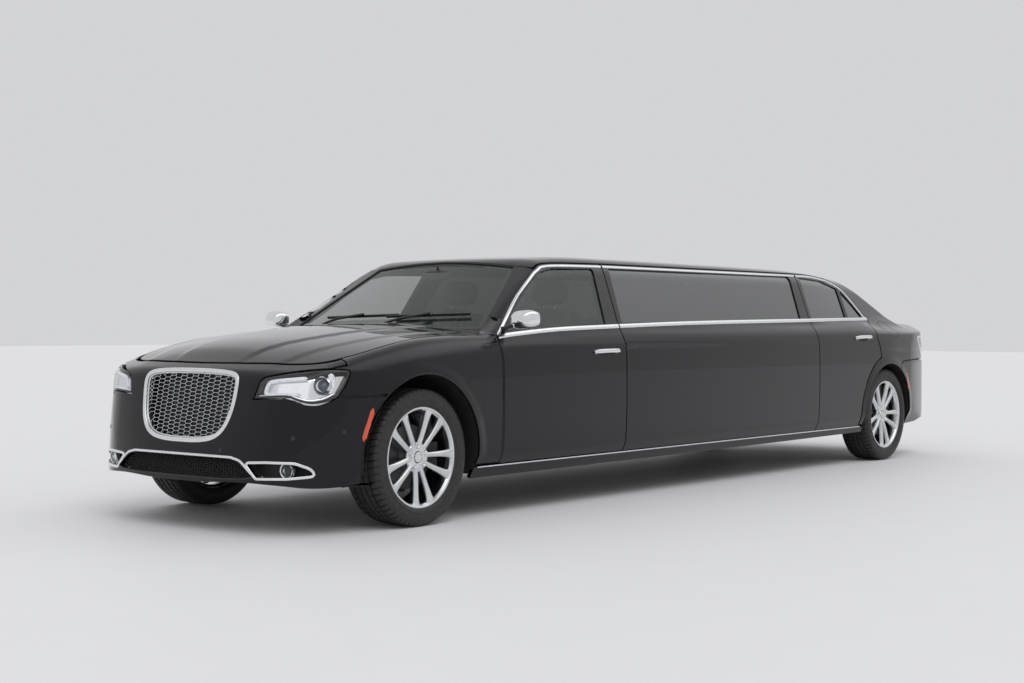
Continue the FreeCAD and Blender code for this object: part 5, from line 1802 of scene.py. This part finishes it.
def pad_pair(centre, offset, size, axes=LEVEL):
    """The bolsters to both sides of a cushion."""
    first, second = (pad(np.array(centre) + (sx * offset[0], offset[1], offset[2]), size, axes, crown=10,
                         square=3.6, cells=18) for sx in (-1, 1))
    return first.join(second)


def slab(x0, x1, y0, y1, levels):
    """A block with upright sides, given by its levels."""
    return loft([[(x0, y0, z), (x1, y0, z), (x1, y1, z), (x0, y1, z)] for z in levels])


CUSHION_Z, BACK_FOOT = CARPET_Z + 212, CARPET_Z + 290
BASE_LEVELS = (CARPET_Z + 2, CARPET_Z + 70, CARPET_Z + 136)
FRONT_SEAT_X, FRONT_SEAT_Y = 370.0, fore(1130)
FRONT_RAKE, REAR_RAKE = raked(math.atan(0.3)), raked(math.atan(0.25))
for sx, hand in ((1, "left"), (-1, "right")):
    x, y = FRONT_SEAT_X * sx, FRONT_SEAT_Y
    cushion = pad((x, y + 235, CUSHION_Z), (330, 520, 150), crown=8, cross_seams=(-0.55, -0.1, 0.35),
                  seams=(-0.35, 0.35))
    padded_piece(cushion, "front_cushion_" + hand, ["front_seats"] if sx == 1 else [])
    bolsters = pad_pair((x, y + 235, CUSHION_Z), (207, 0, 10), (96, 520, 166))
    padded_piece(bolsters, "front_cushion_bolsters_" + hand)
    middle = np.array([x, y + 585, BACK_FOOT + 310.0])
    back_pad = pad(middle, (320, 620, 120), FRONT_RAKE, crown=8, cross_seams=(-0.6, -0.25, 0.1, 0.45),
                   seams=(-0.3, 0.3))
    padded_piece(back_pad, "front_back_" + hand)
    side_pads = pad_pair(middle, (205, -12, 0), (92, 600, 140), FRONT_RAKE)
    padded_piece(side_pads, "front_back_bolsters_" + hand)
    head = np.array([x, y + 711, CARPET_Z + 1002.0])
    headrest = pad(head, (262, 170, 96), FRONT_RAKE, crown=12, square=3.2, cells=18)
    padded_piece(headrest, "headrest_" + hand)
    posts = Skin()
    for dx in (-55, 55):
        posts.join(rod([head + (dx, -45, -150), head + (dx, -12, -60)], (0, 1.0, 0), tube_section(7)))
    posts.object("headrest_posts_" + hand, CHROME, "body", "chrome")
    base = loft([[(x + way * w, y + dy, CARPET_Z + z) for way, dy in ((-1, 10), (1, 10), (1, 430), (-1, 430))]
                 for z, w in ((2, 190), (60, 205), (128, 232), (142, 240))])
    base.object("seat_base_" + hand, PLASTIC, "body", "black_plastic", sharp=30)

BENCH_Y = aft(-478) - 610
for k, (x0, x1) in enumerate(((-690, -232), (-230, 230), (232, 690))):
    middle_x, width = (x0 + x1) / 2, x1 - x0
    channels = {"crown": 12, "cross_seams": (-0.5, 0.0, 0.5)}
    padded_piece(pad((middle_x, BENCH_Y + 235, CUSHION_Z), (width, 525, 152), **channels),
                 f"rear_cushion_{k + 1}", ["saloon_seats"] if k == 0 else [])
    padded_piece(pad((middle_x, BENCH_Y + 573, BACK_FOOT + 310), (width, 620, 122), REAR_RAKE, **channels),
                 f"rear_back_{k + 1}")
slab(-650, 650, BENCH_Y + 10, BENCH_Y + 430, BASE_LEVELS).object(
    "rear_seat_base", CARPET, "body", "leather", sharp=30)
SIDE_BENCH_X, SIDE_BENCH_COUNT = -775, 4
bench_start, bench_end = SPLIT + 380, BENCH_Y - 300
length = (bench_end - bench_start) / SIDE_BENCH_COUNT
for k in range(SIDE_BENCH_COUNT):
    y = bench_start + (k + 0.5) * length
    padded_piece(pad((SIDE_BENCH_X + 245, y, CUSHION_Z), (486, length - 6, 152), crown=12,
                 seams=(-0.45, 0.0, 0.45)), f"side_cushion_{k + 1}")
    padded_piece(pad((SIDE_BENCH_X + 62, y, BACK_FOOT + 195), (length - 6, 385, 118), raked(0.0, math.pi / 2),
                     crown=10, seams=(-0.5, 0.0, 0.5)), f"side_back_{k + 1}")
slab(-760, -330, bench_start + 8, bench_end - 8, BASE_LEVELS).object(
    "side_bench_base", CARPET, "body", "leather", sharp=30)


# ---------------------------------------------------------------- dash, door cards, mirror, bar, engine bay
DASH = [(fore(702), 770), (fore(704), BELT - 64), (fore(730), BELT - 44), (fore(800), BELT - 34),
        (fore(880), BELT - 40), (fore(948), BELT - 62), (fore(975), BELT - 92), (fore(968), BELT - 130),
        (fore(996), BELT - 190), (fore(1006), BELT - 240), (fore(985), 775)]


def console(x):
    """How far the middle of the dashboard stands back towards the seats."""
    return 26 * math.exp(-(x / 120) ** 6)


def bars(profile, xs, y, z, follow=True):
    """A bar across the car: (dy, dz) of its section, which follows the dashboard's middle."""
    return loft([[(x, y + (console(x) if follow else 0) + dy, z + dz) for dy, dz in profile] for x in xs])


rings = []
for x in np.linspace(738, -738, 61):
    brow = 34 * math.exp(-((x - FRONT_SEAT_X) / 150) ** 4)
    ring = []
    for y, z in rounded(DASH, 22, 12):
        high = z > BELT - 100 and y > fore(820)
        ring.append((x, y + (console(x) if y > fore(940) else 0), z + (brow if high else 0)))
    rings.append(ring)
loft(rings).object("dash_skin", PLASTIC, "body", "black_plastic", ["dashboard"], sharp=50)
bars(((4, -16), (13, -14), (9, 14), (0, 16)), np.linspace(700, -700, 57), fore(1000), BELT - 178).object(
    "dash_wood_strip", WOOD, "body", "wood", sharp=30)
vents = Skin()
for x in (-640, -90, 90, 640):
    for z in (-112, -124, -136, -148):
        y = fore(986) + console(x)
        vents.join(bars(((0, -2), (14, -3), (14, 1), (0, 2)), (x - 52, x + 52), y, BELT + z, False))
vents.object("dash_vents", CHROME, "body", "chrome", sharp=30)
bars(((0, -176), (20, -172), (8, -74), (-8, -76)), (-98, 98), fore(1012), BELT, False).object(
    "dash_screen", PROJECTOR, "body", "black_plastic", sharp=30)
mirror_pad = pad((0, fore(1165), ROOF - 150), (235, 62, 34), raked(0.12), crown=0, square=3.4,
                 flat_below=False, cells=12)
mirror_pad.join(rod([(0, fore(1165), ROOF - 140), (0, fore(1178), ROOF - 95)], (0, 1.0, 0), tube_section(9)))
mirror_pad.object("interior_mirror", PLASTIC, "body", "black_plastic", sharp=60, weld=True)


CARD_X = 868


def door_card(loop, piece, pocket):
    """Inner half of a door: armrest, pull, and a pocket that starts at a share of its length."""
    outline = shrunk(np.array(loop), 16)
    y0, y1 = outline[:, 0].min(), outline[:, 0].max()
    verts, tris = fill([outline], 40)
    start = np.stack([np.zeros(len(verts)), verts[:, 0], verts[:, 1]], 1)
    places = cast_rays(body_field, start, np.array([1.0, 0, 0]), 1100, 250)
    places[:, 0] = np.minimum(places[:, 0] - 46, CARD_X)
    normals = np.tile((-1.0, 0, 0), (len(places), 1))
    faces = [t if np.cross(places[t[1]] - places[t[0]], places[t[2]] - places[t[0]])[0] < 0 else t[::-1]
             for t in tris]
    card = Skin().add(places, faces, normals)
    hem(card, places, faces, normals, 6, 36)
    arm_z = BELT - 210
    arm_y0, arm_y1 = y0 + 0.34 * (y1 - y0), y0 + 0.78 * (y1 - y0)
    armrest = pad((CARD_X - 30, (arm_y0 + arm_y1) / 2, arm_z), (66, arm_y1 - arm_y0, 60), crown=6, square=3.4,
                  cells=16)
    lower_pocket = pad((CARD_X - 12, y0 + pocket * (y1 - y0), 430), (36, 0.36 * (y1 - y0), 130), crown=3,
                       square=4, flat_below=False, cells=14)
    pull = rod([(x, arm_y0 + dy, arm_z + dz) for x, dy, dz in (
        (CARD_X, 60, 96), (CARD_X - 40, 90, 100), (CARD_X - 40, 210, 106), (CARD_X, 240, 108))],
        (0, 0, 1.0), tube_section(9))
    hands(card, piece + "_card", PLASTIC, piece, "black_plastic")
    for obj in hands(armrest, piece + "_armrest", LEATHER, piece, "leather", sharp=70, weld=True):
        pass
    hands(lower_pocket, piece + "_pocket", PLASTIC, piece, "black_plastic", sharp=60, weld=True)
    hands(pull, piece + "_pull", CHROME, piece, "chrome")


CARD_LOW = SILL_TOP + 20
door_card(dense([(DOOR_FRONT, CARD_LOW), (SPLIT, CARD_LOW), (SPLIT, BELT - 8), (DOOR_FRONT, BELT - 50)]),
          "front_door", 0.45)
door_card([(REAR_SPLIT, CARD_LOW)] + [p for p in ring_run if p[1] > CARD_LOW]
          + [(aft(-200), BELT + 20), (REAR_SPLIT, BELT + 10)], "rear_door", 0.24)

BAR_Y, BAR_BACK, BAR_DEPTH = SPLIT + 500, 775, 326
BAR_DOORS, BAR_PITCH = 4, 270
bar_top = loft([[(x, y, CARPET_Z + z)
                 for x, y in ((BAR_BACK - BAR_DEPTH * w, BAR_Y - 6), (BAR_BACK, BAR_Y - 6),
                              (BAR_BACK, BAR_Y + 1106), (BAR_BACK - BAR_DEPTH * w, BAR_Y + 1106))]
               for z, w in ((560, 1.0), (566, 1.012), (578, 1.012), (584, 1.0))])
bar_top.object("bar_top", PLASTIC, "body", "black_plastic", sharp=30)
bar_doors, fittings = Skin(), Skin()
for k in range(BAR_DOORS):
    y = BAR_Y + 30 + BAR_PITCH * k
    bar_doors.join(loft([[(455 - d, y + a, CARPET_Z + b)
                          for a, b in ((0, 40), (240, 40), (240, 520), (0, 520))] for d in (0, 7)]))
    knob = [(26, 1), (24, 12), (16, 13), (12, 6), (0, 6)]
    fittings.join(spin(kinked(knob), (448, y + 120, CARPET_Z + 440), (-1, 0, 0), 20))
bar_doors.object("bar_doors", WOOD, "body", "wood", sharp=30)
RAIL_Z = CARPET_Z + 612
fittings.join(rod([(x, BAR_Y + dy, RAIL_Z) for x, dy in ((470, 20), (462, 550), (470, 1080))],
                  (0, 0, 1.0), tube_section(7), 40))
for dy in (40, 550, 1060):
    fittings.join(rod([(466, BAR_Y + dy, RAIL_Z - 32), (466, BAR_Y + dy, RAIL_Z)], (1.0, 0, 0),
                  tube_section(5)))
fittings.object("bar_fittings", CHROME, "body", "chrome")
rail_outline = ((-700, BELT - 60), (700, BELT - 60), (700, BELT - 40), (-700, BELT - 40))
loft([[(x, SPLIT + d, z) for x, z in rail_outline] for d in (112, 118)]).object(
    "partition_rail", CHROME, "body", "chrome", sharp=30)
partition = Skin()
for x in range(-600, 601, 300):
    partition.join(pad((x, SPLIT + 158, CARPET_Z + 360), (292, 560, 26), raked(0.0), crown=8, square=4,
                   cells=14))
padded_piece(partition, "partition_pads")

COVER_HALF = 250
rings = []
for x in np.linspace(COVER_HALF, -COVER_HALF, 45):
    rib = 7 * (abs(((x + COVER_HALF) / 50) % 1 - 0.5) < 0.26)
    edge = 1 - (abs(x) / COVER_HALF) ** 8
    rings.append([(x, fore(y), BELT - 188 + z * edge) for y, z in (
        (-230, 0), (-224, 30 + rib), (-190, 46 + rib), (330, 46 + rib), (368, 28 + rib), (374, 0))])
loft(rings).object("engine_cover", PLASTIC, "body", "black_plastic", sharp=35)
duct = [(x, fore(d), BELT - z) for x, d, z in ((300, -200, 230), (420, -260, 235), (520, -180, 240),
        (560, 60, 250))]
rod(duct, (0, 0, 1.0), tube_section(32, 16), 20).object("intake_hose", PLASTIC, "body", "black_plastic")


# ---------------------------------------------------------------- wheelhouse edges, seam backing, rear end
LINER_X = 826
flanges = Skin()
for axle, radius, start, end in ((FRONT_AXLE, 439.5, -12, 192), (REAR_AXLE, 408.5, -9, 190)):
    near_edge, far_edge = (side(circle(axle, radius + grow, start, end)) for grow in (0, 4))
    flanges.join(loft([[(a[0] - 8, a[1], a[2]), (LINER_X, a[1], a[2]), (LINER_X, b[1], b[2]),
                 (b[0] - 8, b[1], b[2])] for a, b in zip(near_edge, far_edge)]))
flanges.both().object("wheelhouse_flanges", PLASTIC, "body", "black_plastic", sharp=40)


def seam_backing(path):
    """A dark strip a little way behind a gap between two fixed panels."""
    normals = normals_of(body_field, path)
    return sweep(path - normals * 15.0, normals, half_round(44.0, 1.0, 1.0))


backing_strips = seam_backing(joined(seam_side, seam_rear))
backing_strips.join(seam_backing(fascia_seam))
backing_strips.both().object("seam_backings", INSIDE, "body", "black_plastic")

corner_path = [(fore(700), BELT - 22), (fore(768), BELT - 19), (fore(842), ROOF - 425),
               (fore(775), ROOF - 425)]
corner_loop = side(dense(rounded(corner_path, 6)), cabin_field)
corner = sheet(SIDE_CHART, corner_loop, field=cabin_field, spacing=14, radius=1.5, depth=10, lift=2.0,
               gap=0.0)
hands(corner, "mirror_foot", PLASTIC, "front_door", "black_plastic")

valance_loop = rear(dense(rounded([(-452, 312), (452, 312), (425, 418), (-425, 418)], 22)))
sheet(TAIL_END_CHART, valance_loop, spacing=18, radius=3, depth=6, lift=2.5, gap=0.0).object(
    "rear_valance", PLASTIC, "body", "black_plastic")
valance_half = [(-470, 330), (-448, 404), (-425, 424), (-300, 428)]
valance_line = valance_half + [(0, 429)] + [(-x, z) for x, z in reversed(valance_half)]
trim(valance_line, 11, 4, body_field, "rear", step=12, taper=6).object("rear_valance_trim", CHROME, "body",
     "chrome")
trim([(640, 452), (700, 455), (760, 462)], 26, 3.5, body_field, "rear", taper=6).both().object(
    "rear_reflectors", RED, "body", "red_lens")

bulkhead_outline = ((-600, CARPET_Z + 6), (600, CARPET_Z + 6), (600, 690), (700, 730), (700, BELT - 22),
                    (-700, BELT - 22), (-700, 730), (-600, 690))
loft([[(x, aft(d), z) for x, z in bulkhead_outline] for d in (-336, -328)]).object(
    "seat_bulkhead", CARPET, "body", "leather", sharp=30)
loft([[(-735, aft(-330), z), (735, aft(-330), z), (690, aft(352), z), (-690, aft(352), z)]
      for z in (BELT - 22, BELT - 10)]).object("parcel_shelf", CARPET, "body", "leather", sharp=30)


# ---------------------------------------------------------------- camera, floor and light


def look(obj, at, target):
    """Puts an object somewhere and aims it at a target."""
    obj.location = at
    obj.rotation_euler = (Vector(target) - Vector(at)).to_track_quat("-Z", "Y").to_euler()


CAMERA_AT = (6.47496, -6.29386 + FRONT_AXLE * MM, 1.05603)
YAW, PITCH, ROLL = 0.66757157, 0.00955890, 0.00414319
SENSOR, FOCAL_PIXELS, IMAGE_WIDTH = 36.0, 1597.159, 1024
camera_data = bpy.data.cameras.new("camera")
camera_data.sensor_width = SENSOR
camera_data.lens = FOCAL_PIXELS * SENSOR / IMAGE_WIDTH
camera_data.clip_end = 200
camera = bpy.data.objects.new("camera", camera_data)
bpy.context.scene.collection.objects.link(camera)
bpy.context.scene.camera = camera
forward = Vector((-math.sin(YAW) * math.cos(PITCH), math.cos(YAW) * math.cos(PITCH), -math.sin(PITCH)))
level = Vector((math.cos(YAW), math.sin(YAW), 0))
upright = level.cross(forward)
right_way = level * math.cos(ROLL) + upright * math.sin(ROLL)
up_way = upright * math.cos(ROLL) - level * math.sin(ROLL)
camera.matrix_world = Matrix((right_way, up_way, -forward)).transposed().to_4x4()
camera.location = CAMERA_AT


FLOOR_COLOUR, FLOOR_HALF = (0.66, 0.66, 0.67), 60
floor_material = surface("floor", noise(3), tones(tuple(c * 0.985 for c in FLOOR_COLOUR), FLOOR_COLOUR),
                         Roughness=0.6)
floor_mesh = bpy.data.meshes.new("floor")
corners = ((-1, -1), (1, -1), (1, 1), (-1, 1))
floor_mesh.from_pydata([(x * FLOOR_HALF, y * FLOOR_HALF, 0) for x, y in corners], [], [(0, 1, 2, 3)])
floor_mesh.materials.append(floor_material)
floor = bpy.data.objects.new("floor", floor_mesh)
bpy.context.scene.collection.objects.link(floor)

world = bpy.data.worlds.new("world")
bpy.context.scene.world = world
world.use_nodes = True
sky = world.node_tree
background = sky.nodes["Background"]
background.inputs["Color"].default_value = (0.90, 0.905, 0.92, 1)


def sky_node(kind, inputs, **settings):
    """Adds a node to the sky; each input is a number, a vector or another node's output."""
    node = sky.nodes.new(kind)
    for key, value in settings.items():
        setattr(node, key, value)
    for socket, value in inputs.items():
        if isinstance(value, bpy.types.NodeSocket):
            sky.links.new(value, node.inputs[socket])
        else:
            node.inputs[socket].default_value = value
    return node


SKY_LEVEL, SOFTBOX_LEVEL, SOFTBOX_LEAN = 0.72, 0.85, math.radians(24)
towards = sky.nodes.new("ShaderNodeTexCoord").outputs["Generated"]
across_box = (math.cos(SOFTBOX_LEAN), 0, -math.sin(SOFTBOX_LEAN))
beside = sky_node("ShaderNodeVectorMath", {0: towards, 1: across_box}, operation="DOT_PRODUCT")
off_line = sky_node("ShaderNodeMath", {0: beside.outputs["Value"]}, operation="ABSOLUTE")
strip = sky_node("ShaderNodeMapRange", {0: off_line.outputs[0], 1: 0.42, 2: 0.04, 3: 0.0, 4: SOFTBOX_LEVEL},
                 interpolation_type="SMOOTHSTEP")
height = sky_node("ShaderNodeSeparateXYZ", {0: towards})
rise = sky_node("ShaderNodeMapRange", {0: height.outputs["Z"], 1: 0.25, 2: 0.7, 3: 0.0, 4: 1.0},
                interpolation_type="SMOOTHSTEP")
glow = sky_node("ShaderNodeMath", {0: strip.outputs[0], 1: rise.outputs[0], 2: SKY_LEVEL},
                operation="MULTIPLY_ADD")
sky.links.new(glow.outputs[0], background.inputs["Strength"])

# name, place, strength, width in degrees
SUNS = (("key", (5.0, -3.0, 7.5), 0.80, 40), ("fill", (-6.0, 2.5, 6.0), 0.38, 60),
        ("front_fill", (1.5, -8.0, 3.5), 0.25, 60), ("rear_fill", (1.0, 8.0, 3.5), 0.25, 60))
for name, at, power, spread in SUNS:
    data = bpy.data.lights.new(name, "SUN")
    data.energy = power
    data.angle = math.radians(spread)
    lamp = bpy.data.objects.new(name, data)
    lamp.visible_glossy = False
    bpy.context.scene.collection.objects.link(lamp)
    look(lamp, at, (0, 0, 0.6))

bpy.context.scene.view_settings.view_transform = "Standard"
